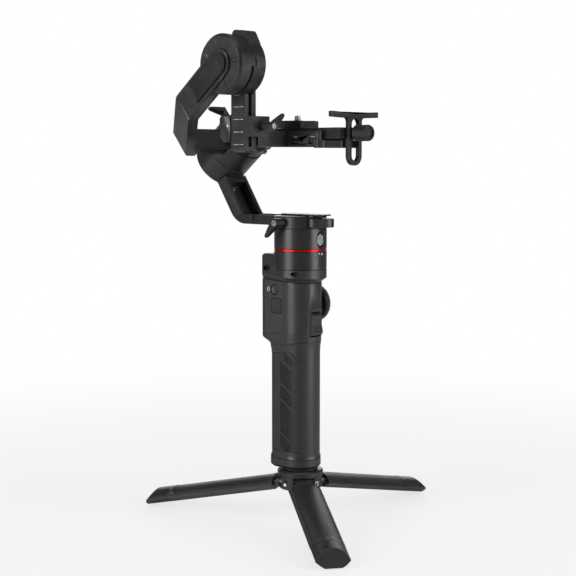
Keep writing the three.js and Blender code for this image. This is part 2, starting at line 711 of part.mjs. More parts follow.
// ---------------------------------------------------------------- pan motor and head
const lockZ = motorZ + MOTOR_H / 2 - 1;
function panMotorHousing() {
  const cup = turned([
    [CABLE_BORE_R, motorZ],
    [MOTOR_R, motorZ],
    [MOTOR_R, headZ - GAP],
    [MOTOR_R - MOTOR_WALL, headZ - GAP],
    [MOTOR_R - MOTOR_WALL, motorZ + 2.6],
    [CABLE_BORE_R, motorZ + 2.6],
  ], LARGE);
  const shape = roundedRect(LOCK_H / 2 + 1.2, LOCK_W / 2 + GAP, LOCK_W / 2, lockZ, 0);
  return cut(cup, slab("y", shape, -MOTOR_R - 2, -MOTOR_R + 4));
}

function lockButton() {
  const shape = roundedRect(LOCK_H / 2, LOCK_W / 2, LOCK_W / 2 - 0.2, lockZ, 0);
  return slab("y", shape, -MOTOR_R - 0.1, -MOTOR_R + 1.8);
}

const panStatorZ = [motorZ + 3.2, headZ - 3];
node("pan_motor_housing", "metal", panMotorHousing());
const panStatorR = MOTOR_R - MOTOR_WALL - PAN_MAGNETS;
node("pan_stator", "copper", ring(BEARING_R + GAP, panStatorR, ...panStatorZ, 0, MEDIUM));
node("pan_bearing", "silver", ring(SHAFT_R + GAP, BEARING_R, panStatorZ[0] + 2, panStatorZ[0] + 8, 0, SMALL));
node("lock_button", "silver", lockButton());

// Extrudes an (x, z) outline along Y.
function along(points, y0, y1) {
  return slab("y", points.map(([x, z]) => [z, x]).reverse(), y0, y1);
}

const leverZ = headZ + 5.3;
function panHead() {
  const disc = turned([
    [0, headZ],
    [MOTOR_R, headZ],
    [MOTOR_R, headTop - 1],
    [MOTOR_R - 1, headTop],
    [0, headTop],
  ], LARGE);
  const slope = DOVETAIL / ARM_H;
  const high = headTop + 1;
  const channel = [
    [-ARM_HALF_W - SLIDE_GAP, armZ - GAP],
    [ARM_HALF_W + SLIDE_GAP, armZ - GAP],
    [ARM_HALF_W + SLIDE_GAP - slope * (high - armZ), high],
    [-ARM_HALF_W - SLIDE_GAP + slope * (high - armZ), high],
  ];
  const bore = rod("x", 2.4, -MOTOR_R - 1, -ARM_HALF_W, 0, leverZ, SMALL);
  const body = cut(
    disc,
    along(channel, CHANNEL_FRONT_Y, MOTOR_R + 1),
    rod("z", KNOB_R + 0.9, headZ + 0.7, headTop + 1, 0, knobY, MEDIUM),
    bore,
  );
  return join(body, rod("z", SHAFT_R, panStatorZ[0] - 0.4, headZ + 1, 0, 0, SMALL));
}

// The tri-lobed knob under the front of the head plate.
function panKnob() {
  const shape = new THREE.Shape();
  const steps = 36;
  for (let i = 0; i < steps; i++) {
    const angle = (i / steps) * 2 * Math.PI;
    const r = KNOB_R - 1.3 - 1.3 * Math.cos(3 * angle);
    const point = [r * Math.cos(angle), r * Math.sin(angle) + knobY];
    if (i) shape.lineTo(...point);
    else shape.moveTo(...point);
  }
  const low = headZ + 1;
  const spindle = rod("z", 2.2, low + 1, headTop + GAP + 0.8, 0, knobY, SMALL);
  return join(slab("z", shape, low, low + KNOB_H), spindle);
}

function headPlate() {
  const front = knobY - 9;
  const rear = 19;
  const shape = roundedRect(9.5, (rear - front) / 2, 6, 0, (rear + front) / 2);
  const low = headTop + GAP;
  const spindleHole = rod("z", 2.2 + GAP, low - 1, low + 0.8 + GAP, 0, knobY, SMALL);
  return cut(slab("z", shape, low, low + HEAD_PLATE_T), spindleHole);
}

node("pan_head", "metal", panHead());
node("pan_knob", "metal", panKnob());
node("head_plate", "metal", headPlate());
const panLever = node("pan_lever", "metal", join(lever(LEVER_HUB_R, 12, 18, 5.5, 2.4), leverPin(6)));
panLever.position.set(-MOTOR_R - GAP, 0, leverZ);
panLever.rotation.set(0, -Math.PI / 2, 0);
panLever.rotateZ(PAN_LEVER_TURN * RAD);

// ---------------------------------------------------------------- pan arm
const rise = new THREE.Vector2(Math.cos(ARM_RISE * RAD), Math.sin(ARM_RISE * RAD));
const across = new THREE.Vector2(-rise.y, rise.x);
// A point beside the rising part: a distance up its lower edge and a distance in from it.
function risePoint(up, inward) {
  return [
    ARM_BEND_Y + rise.x * up + across.x * inward,
    armZ + rise.y * up + across.y * inward,
  ];
}
// Where a line a distance inside the rising edge crosses a height above the arm's underside.
function riseCross(inward, height) {
  const up = (height - across.y * inward) / rise.y;
  return risePoint(up, inward);
}

function panArm() {
  const corner = 12;
  const outer = new THREE.Shape();
  outer.moveTo(ARM_FRONT_Y, armZ);
  outer.lineTo(ARM_BEND_Y - corner, armZ);
  outer.quadraticCurveTo(ARM_BEND_Y, armZ, ...risePoint(corner, 0));
  outer.lineTo(...risePoint(ARM_RISE_LENGTH, 0));
  outer.lineTo(...risePoint(ARM_RISE_LENGTH, ARM_RISE_T));
  outer.lineTo(...riseCross(ARM_RISE_T, ARM_H));
  outer.lineTo(ARM_FRONT_Y, armTop);
  const body = slab("x", outer, -ARM_HALF_W, ARM_HALF_W);
  const trough = [
    [ARM_FRONT_Y + 5, armZ + ARM_WALL],
    riseCross(ARM_WALL, ARM_WALL),
    risePoint(ARM_RISE_LENGTH - TROUGH_STOP, ARM_WALL),
    risePoint(ARM_RISE_LENGTH - TROUGH_STOP, ARM_RISE_T + 20),
    [ARM_FRONT_Y + 5, armTop + 20],
  ];
  const inside = slab("x", trough, -ARM_HALF_W + ARM_WALL + 0.6, ARM_HALF_W - ARM_WALL - 0.6);
  const flanks = [-1, 1].map((side) => {
    const flank = [
      [side * (ARM_HALF_W + 1), armZ - 1],
      [side * (ARM_HALF_W + 1), armTop + 1],
      [side * (ARM_HALF_W - DOVETAIL - 0.2), armTop + 1],
      [side * (ARM_HALF_W + 0.2), armZ - 1],
    ];
    return along(side > 0 ? flank : flank.reverse(), ARM_FRONT_Y - 1, ARM_BEND_Y - 22);
  });
  const seat = new THREE.CylinderGeometry(ROLL_R + GAP, ROLL_R + GAP, 60, LARGE);
  seat.rotateX(Math.PI / 2).translate(0, 0, -ROLL_SPLIT_T - 20);
  seat.applyMatrix4(rollFrame.matrix);
  return cut(body, inside, ...flanks, seat);
}

// ---------------------------------------------------------------- roll axis
// In this frame X is the object's X, Y is across the roll axis and Z is the roll axis, pointing forwards.
const rollFrame = new THREE.Group();
rollFrame.position.set(0, 0, centreZ);
rollFrame.rotation.x = (90 - ROLL_SLOPE) * RAD;
rollFrame.updateMatrix();
gimbal.add(rollFrame);

function rollStatorHousing() {
  const [front, rear] = ROLL_STATOR_T;
  return turned([
    [0, -rear],
    [ROLL_R - 2, -rear],
    [ROLL_R, -rear + 2],
    [ROLL_R, -front],
    [ROLL_R - MOTOR_WALL, -front],
    [ROLL_R - MOTOR_WALL, -rear + 3],
    [0, -rear + 3],
  ], LARGE);
}

function rollRotor() {
  const cupFloor = RAIL_T[1] + SLIDE_GAP + 3.4;
  const drum = turned([
    [0, -cupFloor],
    [ROLL_R - MOTOR_WALL, -cupFloor],
    [ROLL_R - MOTOR_WALL, -ROLL_SPLIT_T],
    [ROLL_R, -ROLL_SPLIT_T],
    [ROLL_R, -JAW_T[1] - GAP],
    [0, -JAW_T[1] - GAP],
  ], LARGE);
  const w = RAIL_HALF_W + SLIDE_GAP;
  const slot = box(-ROLL_R - 1, ROLL_R + 1, -w, w, -RAIL_T[1] - SLIDE_GAP, 0);
  const shaft = rod("z", SHAFT_R, -ROLL_STATOR_T[1] + 3.6, -cupFloor + 1, 0, 0, SMALL);
  return join(cut(drum, slot), shaft);
}

function rollJaw() {
  const [front, rear] = JAW_T;
  const disc = turned([
    [0, -rear],
    [JAW_R, -rear],
    [JAW_R, -front - 1.6],
    [JAW_R - 1.6, -front],
    [0, -front],
  ], LARGE);
  const flat = box(-LEVER_SEAT_X - 6, -LEVER_SEAT_X + 6, JAW_TOP - 0.6, JAW_R + 1, -rear - 1, -front + 1);
  const bore = rod("y", 2.4, 8, JAW_R, -LEVER_SEAT_X, -(front + rear) / 2, SMALL);
  return cut(disc, flat, bore);
}
function rollArm() {
  const run = (RAIL_T[1] - ROLL_ARM_BEND) * ARM_LEAN;
  const outer = [
    [ROLL_ARM_X, ROLL_ARM_HALF_W],
    [ROLL_ARM_X + ROLL_ARM_T, ROLL_ARM_HALF_W],
    [ROLL_ARM_X + ROLL_ARM_T, -ROLL_ARM_BEND],
    [ARM_ROOT.x, -ARM_ROOT.t],
    [ARM_ROOT.x + 10, -RAIL_T[0]],
    [ARM_ROOT.x + 10, -RAIL_T[1]],
    [ROLL_ARM_X + run, -RAIL_T[1]],
    [ROLL_ARM_X, -ROLL_ARM_BEND],
  ];
  const bent = slab("y", outer.map(([x, z]) => [z, x]).reverse(), -ROLL_ARM_HALF_W, ROLL_ARM_HALF_W);
  const end = new THREE.Shape();
  end.absarc(0, 0, ROLL_ARM_HALF_W, 0, Math.PI, false);
  end.lineTo(-ROLL_ARM_HALF_W, -RAIL_T[1] - 1);
  end.lineTo(ROLL_ARM_HALF_W, -RAIL_T[1] - 1);
  const rounded = common(bent, slab("x", end, ROLL_ARM_X - 1, ARM_ROOT.x + 20));
  const rail = box(ARM_ROOT.x, RAIL_END_X, -RAIL_HALF_W, RAIL_HALF_W, -RAIL_T[1], -RAIL_T[0]);
  const groove = RAIL_HALF_W - 1.4;
  const middle = -(RAIL_T[0] + RAIL_T[1]) / 2;
  const grooves = [-1, 1].map((side) => {
    const [low, high] = side > 0 ? [groove, RAIL_HALF_W + 1] : [-RAIL_HALF_W - 1, -groove];
    return box(ARM_ROOT.x + 14, RAIL_END_X + 1, low, high, middle - 1.6, middle + 1.6);
  });
  return join(rounded, cut(rail, ...grooves));
}

function armCover() {
  const r = COVER_PLATE_HALF_W;
  const shape = new THREE.Shape();
  shape.absarc(0, 0, r, 0, Math.PI, false);
  shape.lineTo(-r, -COVER_PLATE_END + 3);
  shape.quadraticCurveTo(0, -COVER_PLATE_END - 3, r, -COVER_PLATE_END + 3);
  return slab("x", shape, ROLL_ARM_X - GAP - COVER_PLATE_T, ROLL_ARM_X - GAP);
}

node("pan_arm", "metal", panArm());
node("roll_motor_housing", "metal", rollStatorHousing(), rollFrame);
const rollCoreZ = [-ROLL_STATOR_T[1] + 4, -ROLL_STATOR_T[0] + 3.4];
const rollCore = ring(BEARING_R + GAP, ROLL_R - MOTOR_WALL - ROLL_MAGNETS, ...rollCoreZ, 0, MEDIUM);
node("roll_stator", "copper", rollCore, rollFrame);
const rollBearing = ring(SHAFT_R + GAP, BEARING_R, rollCoreZ[0] + 3, rollCoreZ[0] + 9, 0, SMALL);
node("roll_bearing", "silver", rollBearing, rollFrame);
node("roll_rotor", "metal", rollRotor(), rollFrame);
node("roll_jaw", "metal", rollJaw(), rollFrame);
const rollLever = node("roll_lever", "metal", join(lever(4, 10.6, 22, 5, 2), leverPin(8)), rollFrame);
rollLever.position.set(-LEVER_SEAT_X, JAW_TOP, -(JAW_T[0] + JAW_T[1]) / 2);
rollLever.rotation.set(-Math.PI / 2, 0, 0);
rollLever.rotateZ(ROLL_LEVER_TURN * RAD);
node("roll_arm", "metal", rollArm(), rollFrame);
node("arm_cover", "metal", armCover(), rollFrame);

// ---------------------------------------------------------------- tilt motor
// The tilt pieces are turned about Z and laid over so that their axis is X, through the gimbal's centre.
function laidOver(geometry) {
  return geometry.rotateY(Math.PI / 2).translate(0, 0, centreZ);
}

function ridge(x0, x1) {
  const high = centreZ + TILT_R;
  return slab(
    "x",
    [
      [RIDGE_Y[0] - 4, high - 6],
      [RIDGE_Y[1] + 4, high - 3],
      [RIDGE_Y[1], high + RIDGE_H - 1],
      [RIDGE_Y[1] - 2, high + RIDGE_H],
      [RIDGE_Y[0] + 1.5, high + RIDGE_H - 1],
      [RIDGE_Y[0], high + RIDGE_H - 3],
    ],
    x0,
    x1,
  );
}

function tiltMotorHousing() {
  const [outer, split] = TILT_STATOR_X;
  const drum = laidOver(
    turned([
      [0, outer],
      [TILT_R - 1.4, outer],
      [TILT_R, outer + 1.4],
      [TILT_R, split],
      [TILT_R - MOTOR_WALL, split],
      [TILT_R - MOTOR_WALL, split - 3],
      [0, split - 3],
    ], LARGE),
  );
  const w = ROLL_ARM_HALF_W + GAP;
  const notch = new THREE.Shape();
  notch.absarc(0, 0, w, 0, Math.PI, false);
  notch.lineTo(-w, -TILT_R - 5);
  notch.lineTo(w, -TILT_R - 5);
  const seat = slab("x", notch, outer - 1, ROLL_ARM_X + ROLL_ARM_T + GAP).applyMatrix4(rollFrame.matrix);
  return cut(drum, seat);
}

function tiltRotor() {
  const [split, inner] = TILT_ROTOR_X;
  const drum = laidOver(
    turned([
      [0, inner - 4],
      [TILT_R - MOTOR_WALL, inner - 4],
      [TILT_R - MOTOR_WALL, split],
      [TILT_R, split],
      [TILT_R, inner - 2],
      [TILT_R - 2, inner],
      [0, inner],
    ], LARGE),
  );
  const hollow = laidOver(ring(0.01, TILT_R - MOTOR_WALL, split - 1, inner - 4, 0, LARGE));
  const crest = cut(ridge(split, inner - 2), hollow);
  const shaft = rod("x", SHAFT_R, TILT_STATOR_X[1] - 2.4, inner - 3, 0, centreZ, SMALL);
  return join(drum, crest, shaft);
}

const tiltCore = [TILT_STATOR_X[1] - 2.6, TILT_ROTOR_X[1] - 5];
node("tilt_motor_housing", "metal", tiltMotorHousing());
const tiltCoreRing = ring(BEARING_R + GAP, TILT_R - MOTOR_WALL - TILT_MAGNETS, ...tiltCore, 0, MEDIUM);
node("tilt_stator", "copper", laidOver(tiltCoreRing));
const tiltBearing = ring(SHAFT_R + GAP, BEARING_R, tiltCore[0] + 2, tiltCore[0] + 8, 0, SMALL);
node("tilt_bearing", "silver", laidOver(tiltBearing));
node("tilt_rotor", "metal", tiltRotor());

// ---------------------------------------------------------------- tilt rail and bracket
function tiltRail() {
  const [x0, x1] = TILT_RAIL_X;
  const h = TILT_RAIL_HALF_Y;
  const bar = box(x0, x1, -h, h, tiltRailLow, centreZ - 10);
  const nose = rod("y", (x1 - x0) / 2, -h, h, (x0 + x1) / 2, tiltRailLow + (x1 - x0) / 2, SMALL);
  const blunt = cut(
    bar,
    cut(
      box(x0 - 1, x1 + 1, -h - 1, h + 1, tiltRailLow - 1, tiltRailLow + 3),
      nose.clone().scale(1, 2, 1),
      box(x0 + 3, x1 - 3, -h - 2, h + 2, tiltRailLow - 0.5, tiltRailLow + 4),
    ),
  );
  const [g0, g1] = RAIL_GROOVE_X;
  const depth = h - RAIL_GROOVE_DEPTH;
  const low = tiltRailLow + 5;
  const rotorRoom = rod("x", TILT_R + GAP, x0 - 1, TILT_ROTOR_X[1] + GAP, 0, centreZ, LARGE);
  const flange = rod("x", 14, TILT_ROTOR_X[1] + GAP, x1, 0, centreZ, MEDIUM);
  const strap = box(TILT_ROTOR_X[1] + GAP, x1, -h, h, centreZ - TILT_R - STRAP_DROP, centreZ);
  return join(
    cut(
      blunt,
      rotorRoom,
      box(g0, g1, -h - 1, -depth, low, centreZ),
      box(g0, g1, depth, h + 1, low, centreZ),
    ),
    flange,
    strap,
  );
}

const bracketMid = (bracketZ[0] + bracketZ[1]) / 2;
function railBracket() {
  const [x0, x1] = BRACKET_X;
  const [low, high] = bracketZ;
  const wall = TILT_RAIL_HALF_Y + SLIDE_GAP;
  const rear = slab(
    "x",
    [
      [wall, low - 4.6],
      [BRACKET_REAR_Y - 5, low - 4.6],
      [BRACKET_REAR_Y, low],
      [BRACKET_REAR_Y, high],
      [wall, high],
    ],
    x0,
    x1,
  );
  const front = box(x0, x1, BRACKET_FRONT_Y, -wall, low, high);
  const back = box(TILT_RAIL_X[1] + SLIDE_GAP, x1, BRACKET_FRONT_Y, BRACKET_REAR_Y, low, high);
  const t0 = RAIL_GROOVE_X[0] + SLIDE_GAP;
  const t1 = RAIL_GROOVE_X[1] - SLIDE_GAP;
  const reach = TILT_RAIL_HALF_Y - RAIL_GROOVE_DEPTH + SLIDE_GAP;
  const tongues = [box(t0, t1, reach, wall + 1, low, high), box(t0, t1, -wall - 1, -reach, low, high)];
  const bore = rod("y", 2.4, BRACKET_FRONT_Y - 1, BRACKET_FRONT_Y + 7, RAIL_LEVER_X, bracketMid, SMALL);
  return cut(join(rear, front, back, ...tongues), bore);
}

node("tilt_rail", "metal", tiltRail());
node("rail_bracket", "metal", railBracket());
const railLever = node("rail_lever", "metal", join(lever(3.9, LEVER_HUB_LEN, 17.5, 5, 2), leverPin(6)));
railLever.position.set(RAIL_LEVER_X, BRACKET_FRONT_Y - GAP, bracketMid);
railLever.rotation.set(Math.PI / 2, 0, 0);
railLever.rotateZ(RAIL_LEVER_TURN * RAD);

// ---------------------------------------------------------------- platform and plates
const usbZ = platformZ[0] + 4;
function platform() {
  const w = platformHalfW;
  const [front, rear] = PLATFORM_Y;
  const [low, high] = platformZ;
  const tray = slab("z", roundedRect(w, (rear - front) / 2, 2.5, 0, (rear + front) / 2), low, high);
  const tongue = slab(
    "z",
    [
      [-w + 2, front + 8],
      [-w + 2, front - 4],
      [-12, TONGUE_Y],
      [12, TONGUE_Y],
      [w - 2, front - 4],
      [w - 2, front + 8],
    ].reverse(),
    low - 1,
    tongueTop,
  );
  const armY = [-5, 20];
  const armFar = BRACKET_X[1] + GAP;
  const arm = box(armFar, -w + 3, armY[0], armY[1], low, high);
  const s = SLIDE_HALF_W + SLIDE_GAP;
  const slope = DOVETAIL / (high - slideZ[0]);
  const top = high + 1;
  const channel = along(
    [
      [-s, slideZ[0] - SLIDE_GAP],
      [s, slideZ[0] - SLIDE_GAP],
      [s - slope * (top - slideZ[0]), top],
      [-s + slope * (top - slideZ[0]), top],
    ],
    front - 40,
    rear + 5,
  );
  const pockets = USB_Y.map((y) => usbBlock(y, -GAP, -w - 1, -w + USB_DEPTH + GAP));
  return cut(join(tray, tongue, arm), channel, ...pockets);
}

// A port's block between two places along X, smaller by a margin all round.
function usbBlock(y, margin, x0, x1) {
  const a = USB_W / 2 - margin;
  const b = USB_H / 2 - margin;
  return box(x0, x1, y - a, y + a, usbZ - b, usbZ + b);
}

function usbPort(y) {
  const x = -platformHalfW;
  return cut(usbBlock(y, 0, x - 0.4, x + USB_DEPTH), usbBlock(y, 1, x - 1, x + USB_DEPTH - 0.8));
}

const knobZ = (slideZ[0] + slideZ[1]) / 2;
function slidePlate() {
  const s = SLIDE_HALF_W;
  const [low, high] = slideZ;
  const shoulder = platformZ[1];
  const body = along(
    [
      [-s, low],
      [s, low],
      [s - DOVETAIL, shoulder],
      [s - DOVETAIL, high],
      [-s + DOVETAIL, high],
      [-s + DOVETAIL, shoulder],
    ],
    ...SLIDE_Y,
  );
  const slotHalf = (PLATE_Y[1] - PLATE_Y[0]) / 2;
  const slotY = (PLATE_Y[0] + PLATE_Y[1]) / 2;
  const slot = slab("z", roundedRect(3.3, slotHalf, 3.2, 0, slotY), low - 1, high + 1);
  const bore = rod("y", 2.4 + GAP, SLIDE_Y[0] - 1, SLIDE_Y[0] + 9, 0, knobZ, SMALL);
  return cut(body, slot, bore);
}

const plateTop = plateZ + PLATE_H;
const screwY = (PLATE_Y[0] + PLATE_Y[1]) / 2;
function cameraPlate() {
  const shape = roundedRect(PLATE_HALF_W, (PLATE_Y[1] - PLATE_Y[0]) / 2, 2, 0, screwY);
  return cut(
    slab("z", shape, plateZ, plateTop),
    rod("z", CAMERA_SCREW_R + GAP, plateZ - 1, plateTop + 1, 0, screwY, SMALL),
    rod("z", 8.4, plateZ - 1, plateZ + 3.2, 0, screwY, MEDIUM),
  );
}

function cameraScrew() {
  return join(
    rod("z", 8, plateZ + GAP, plateZ + 2.8, 0, screwY, MEDIUM),
    rod("z", CAMERA_SCREW_R, plateZ + 2, plateTop + 5, 0, screwY, SMALL),
  );
}

function lensSupport() {
  const top = supportZ[1];
  const barLow = top - SUPPORT_BAR_H;
  const stem = SUPPORT_STEM_HALF;
  const half = SUPPORT_BAR_HALF;
  const shape = new THREE.Shape();
  const vee = 1.8;
  shape.moveTo(half, barLow);
  shape.lineTo(half, top);
  shape.lineTo(half - 3, top);
  shape.lineTo(0, top - vee);
  shape.lineTo(-half + 3, top);
  shape.lineTo(-half, top);
  shape.lineTo(-half, barLow);
  shape.lineTo(-stem - 6, barLow - 0.6);
  shape.quadraticCurveTo(-stem, barLow - 0.6, -stem, barLow - 7);
  shape.lineTo(-stem, supportZ[0] + stem);
  shape.absarc(0, supportZ[0] + stem, stem, Math.PI, 2 * Math.PI, false);
  shape.lineTo(stem, barLow - 7);
  shape.quadraticCurveTo(stem, barLow - 0.6, stem + 6, barLow - 0.6);
  const body = slab("y", turnedOver(shape), ...SUPPORT_Y);
  const slotLow = supportZ[0] + stem - SUPPORT_SLOT_HALF;
  const slotHigh = top - 6.3;
  const slotHalf = SUPPORT_SLOT_HALF;
  const slot = roundedRect((slotHigh - slotLow) / 2, slotHalf, slotHalf - 0.1, (slotHigh + slotLow) / 2, 0);
  return cut(body, slab("y", slot, SUPPORT_Y[0] - 1, SUPPORT_Y[1] + 1));
}

// An (x, z) shape as the (z, x) outline that an extrusion along Y takes.
function turnedOver(shape) {
  return shape.extractPoints(CURVE_STEPS).shape.map((p) => [p.y, p.x]).reverse();
}

function lensKnob() {
  const [front, rear] = SUPPORT_KNOB_Y;
  const r = SUPPORT_KNOB_R;
  const knob = turned([
    [0, front + 2.4],
    [r - 2.6, front + 2.4],
    [r - 2.2, front],
    [r - 0.8, front],
    [r, front + 1],
    [r, rear - 0.8],
    [r - 0.8, rear],
    [0, rear],
  ], MEDIUM);
  knob.rotateX(-Math.PI / 2);
  return knob;
}

node("platform", "metal", platform());
USB_Y.forEach((y, i) => node(`usb_port_${i + 1}`, "silver", usbPort(y)));
node("slide_plate", "metal", slidePlate());
node("camera_plate", "metal", cameraPlate());
node("camera_screw", "silver", cameraScrew());
node("lens_support", "metal", lensSupport());
node(
  "lens_knob",
  "metal",
  join(lensKnob(), rod("y", 2.4, SUPPORT_KNOB_Y[1] - 1, SLIDE_Y[0] + 7, 0, 0, SMALL)),
).position.z = knobZ;

export default gimbal;
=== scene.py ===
"""The looks of a three-axis handheld gimbal stabilizer on its mini tripod.

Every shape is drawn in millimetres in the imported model's own frame and scaled to metres at the end.
The lens would point along -Y, the pan axis is Z, and the tilt motor is on the -X side.
"""

import json
import math
from collections import namedtuple

import bmesh
import bpy
from mathutils import Matrix, Vector


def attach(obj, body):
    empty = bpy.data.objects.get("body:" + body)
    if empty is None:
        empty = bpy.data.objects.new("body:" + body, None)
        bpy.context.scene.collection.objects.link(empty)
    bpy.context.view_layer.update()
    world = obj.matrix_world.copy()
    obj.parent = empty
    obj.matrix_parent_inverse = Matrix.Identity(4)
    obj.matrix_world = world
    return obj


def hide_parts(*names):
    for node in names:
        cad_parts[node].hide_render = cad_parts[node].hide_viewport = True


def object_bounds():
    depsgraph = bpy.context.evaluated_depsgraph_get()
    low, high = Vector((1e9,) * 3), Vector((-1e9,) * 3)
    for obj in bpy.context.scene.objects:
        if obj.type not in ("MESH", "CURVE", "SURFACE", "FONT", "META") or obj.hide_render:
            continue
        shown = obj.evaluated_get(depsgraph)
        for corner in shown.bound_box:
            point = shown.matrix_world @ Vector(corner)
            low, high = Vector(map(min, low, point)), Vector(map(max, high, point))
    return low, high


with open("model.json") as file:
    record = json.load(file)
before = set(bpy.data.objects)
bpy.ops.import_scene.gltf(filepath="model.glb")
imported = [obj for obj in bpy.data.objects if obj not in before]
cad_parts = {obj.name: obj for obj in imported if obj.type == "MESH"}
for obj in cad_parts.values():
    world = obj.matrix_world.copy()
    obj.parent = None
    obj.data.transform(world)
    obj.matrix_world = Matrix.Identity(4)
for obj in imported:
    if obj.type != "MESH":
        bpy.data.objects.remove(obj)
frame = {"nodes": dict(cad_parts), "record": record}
cad_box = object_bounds()

MM = 0.001
RAD = math.pi / 180
FINE = 96  # sides of a large round surface
SMALL = 40  # sides of a screw, a pin or a bore
GAP = 0.3  # between two pieces that meet
EDGE = 0.35  # the usual rounding of an edge

scene = bpy.context.scene
bodies = frame["record"]["behaviour"]["bodies"]
BODY_OF = {node: body for body, nodes in bodies.items() for node in nodes}


# ---------------------------------------------------------------- camera, light and floor
CAMERA_PLACE = (-0.8947, -0.8056, 0.3117)
CAMERA_PITCH = 84.16  # degrees from straight down
CAMERA_TURN = -47.45
LENS = 81.25


def studio():
    camera = bpy.data.cameras.new("camera")
    camera.lens = LENS
    camera.sensor_width = 36
    seat = bpy.data.objects.new("camera", camera)
    seat.location = CAMERA_PLACE
    seat.rotation_euler = (CAMERA_PITCH * RAD, 0, CAMERA_TURN * RAD)
    scene.collection.objects.link(seat)
    scene.camera = seat
    scene.view_settings.view_transform = "Standard"

    world = bpy.data.worlds.new("studio")
    world.use_nodes = True
    nodes = world.node_tree.nodes
    links = world.node_tree.links
    nodes.clear()
    out = nodes.new("ShaderNodeOutputWorld")
    mix = nodes.new("ShaderNodeMixShader")
    ray = nodes.new("ShaderNodeLightPath")
    ambient = nodes.new("ShaderNodeBackground")
    ambient.inputs["Color"].default_value = (1, 1, 1, 1)
    ambient.inputs["Strength"].default_value = 0.13
    backdrop = nodes.new("ShaderNodeBackground")
    backdrop.inputs["Color"].default_value = (1, 1, 1, 1)
    backdrop.inputs["Strength"].default_value = 1.0
    links.new(ray.outputs["Is Camera Ray"], mix.inputs[0])
    links.new(ambient.outputs[0], mix.inputs[1])
    links.new(backdrop.outputs[0], mix.inputs[2])
    links.new(mix.outputs[0], out.inputs["Surface"])
    scene.world = world

    # Tall soft boxes either side of the camera, one overhead and one low behind.
    towards_camera = CAMERA_TURN - 90
    soft_box("left_box", towards_camera - 55, 0.45, 1.7, (0.9, 1.8), 28)
    soft_box("right_box", towards_camera + 66, 0.40, 1.7, (0.9, 1.8), 28)
    soft_box("top_box", towards_camera + 10, 2.1, 0.5, (1.6, 1.6), 9)
    soft_box("back_box", towards_camera + 180, 0.7, 2.0, (1.8, 1.0), 11)

    floor = build("floor", *disc(60.0))
    floor.location.z = cad_box[0].z
    floor.data.materials.append(floor_finish())


def soft_box(name, azimuth, height, distance, size, power):
    light = bpy.data.lights.new(name, "AREA")
    light.shape = "RECTANGLE"
    light.size, light.size_y = size
    light.energy = power
    lamp = bpy.data.objects.new(name, light)
    aim = Vector((0, 0, 0.2))
    lamp.location = (
        distance * math.cos(azimuth * RAD),
        distance * math.sin(azimuth * RAD),
        height,
    )
    lamp.rotation_euler = (lamp.location - aim).to_track_quat("Z", "Y").to_euler()
    scene.collection.objects.link(lamp)


# ---------------------------------------------------------------- finishes
Finish = namedtuple("Finish", "material slot")


class Shader:
    """A Principled material with short ways to add its nodes."""

    def __init__(self, name, roughness, metallic=0.0):
        self.material = bpy.data.materials.new(name)
        self.material.use_nodes = True
        self.tree = self.material.node_tree
        self.surface = self.tree.nodes["Principled BSDF"]
        self.surface.inputs["Roughness"].default_value = roughness
        self.surface.inputs["Metallic"].default_value = metallic
        self.place = self.node("ShaderNodeTexCoord").outputs["Object"]

    def node(self, kind, **values):
        made = self.tree.nodes.new(kind)
        for name, value in values.items():
            setattr(made, name, value)
        return made

    def link(self, a, b):
        self.tree.links.new(a, b)

    def noise(self, scale, detail=3.0, stretch=(1, 1, 1)):
        mapping = self.node("ShaderNodeMapping")
        mapping.inputs["Scale"].default_value = stretch
        noise = self.node("ShaderNodeTexNoise")
        noise.inputs["Scale"].default_value = scale
        noise.inputs["Detail"].default_value = detail
        self.link(self.place, mapping.inputs["Vector"])
        self.link(mapping.outputs["Vector"], noise.inputs["Vector"])
        return noise.outputs["Fac"]

    def ramp(self, value, low, high, start=0.3, end=0.7):
        ramp = self.node("ShaderNodeValToRGB")
        first, last = ramp.color_ramp.elements
        first.position, last.position = start, end
        first.color = (*low, 1)
        last.color = (*high, 1)
        self.link(value, ramp.inputs["Fac"])
        return ramp.outputs["Color"]

    def spread(self, value, low, high):
        spread = self.node("ShaderNodeMapRange")
        spread.inputs["From Min"].default_value = 0.3
        spread.inputs["From Max"].default_value = 0.7
        spread.inputs["To Min"].default_value = low
        spread.inputs["To Max"].default_value = high
        self.link(value, spread.inputs["Value"])
        return spread.outputs["Result"]

    def bump(self, value, depth, strength=1.0):
        bump = self.node("ShaderNodeBump")
        bump.inputs["Distance"].default_value = depth
        bump.inputs["Strength"].default_value = strength
        self.link(value, bump.inputs["Height"])
        self.link(bump.outputs["Normal"], self.surface.inputs["Normal"])

    def worn_edges(self, colour, worn, share):
        """Mixes a paler colour in along the outer edges."""
        shape = self.node("ShaderNodeNewGeometry").outputs["Pointiness"]
        reach = self.node("ShaderNodeMapRange")
        reach.inputs["From Min"].default_value = 0.53
        reach.inputs["From Max"].default_value = 0.62
        reach.inputs["To Max"].default_value = share
        self.link(shape, reach.inputs["Value"])
        mix = self.node("ShaderNodeMix", data_type="RGBA")
        self.link(reach.outputs["Result"], mix.inputs["Factor"])
        self.link(colour, mix.inputs["A"])
        mix.inputs["B"].default_value = (*worn, 1)
        self.link(mix.outputs["Result"], self.surface.inputs["Base Color"])


def shade(colour, by):
    return tuple(min(1.0, c * by) for c in colour)


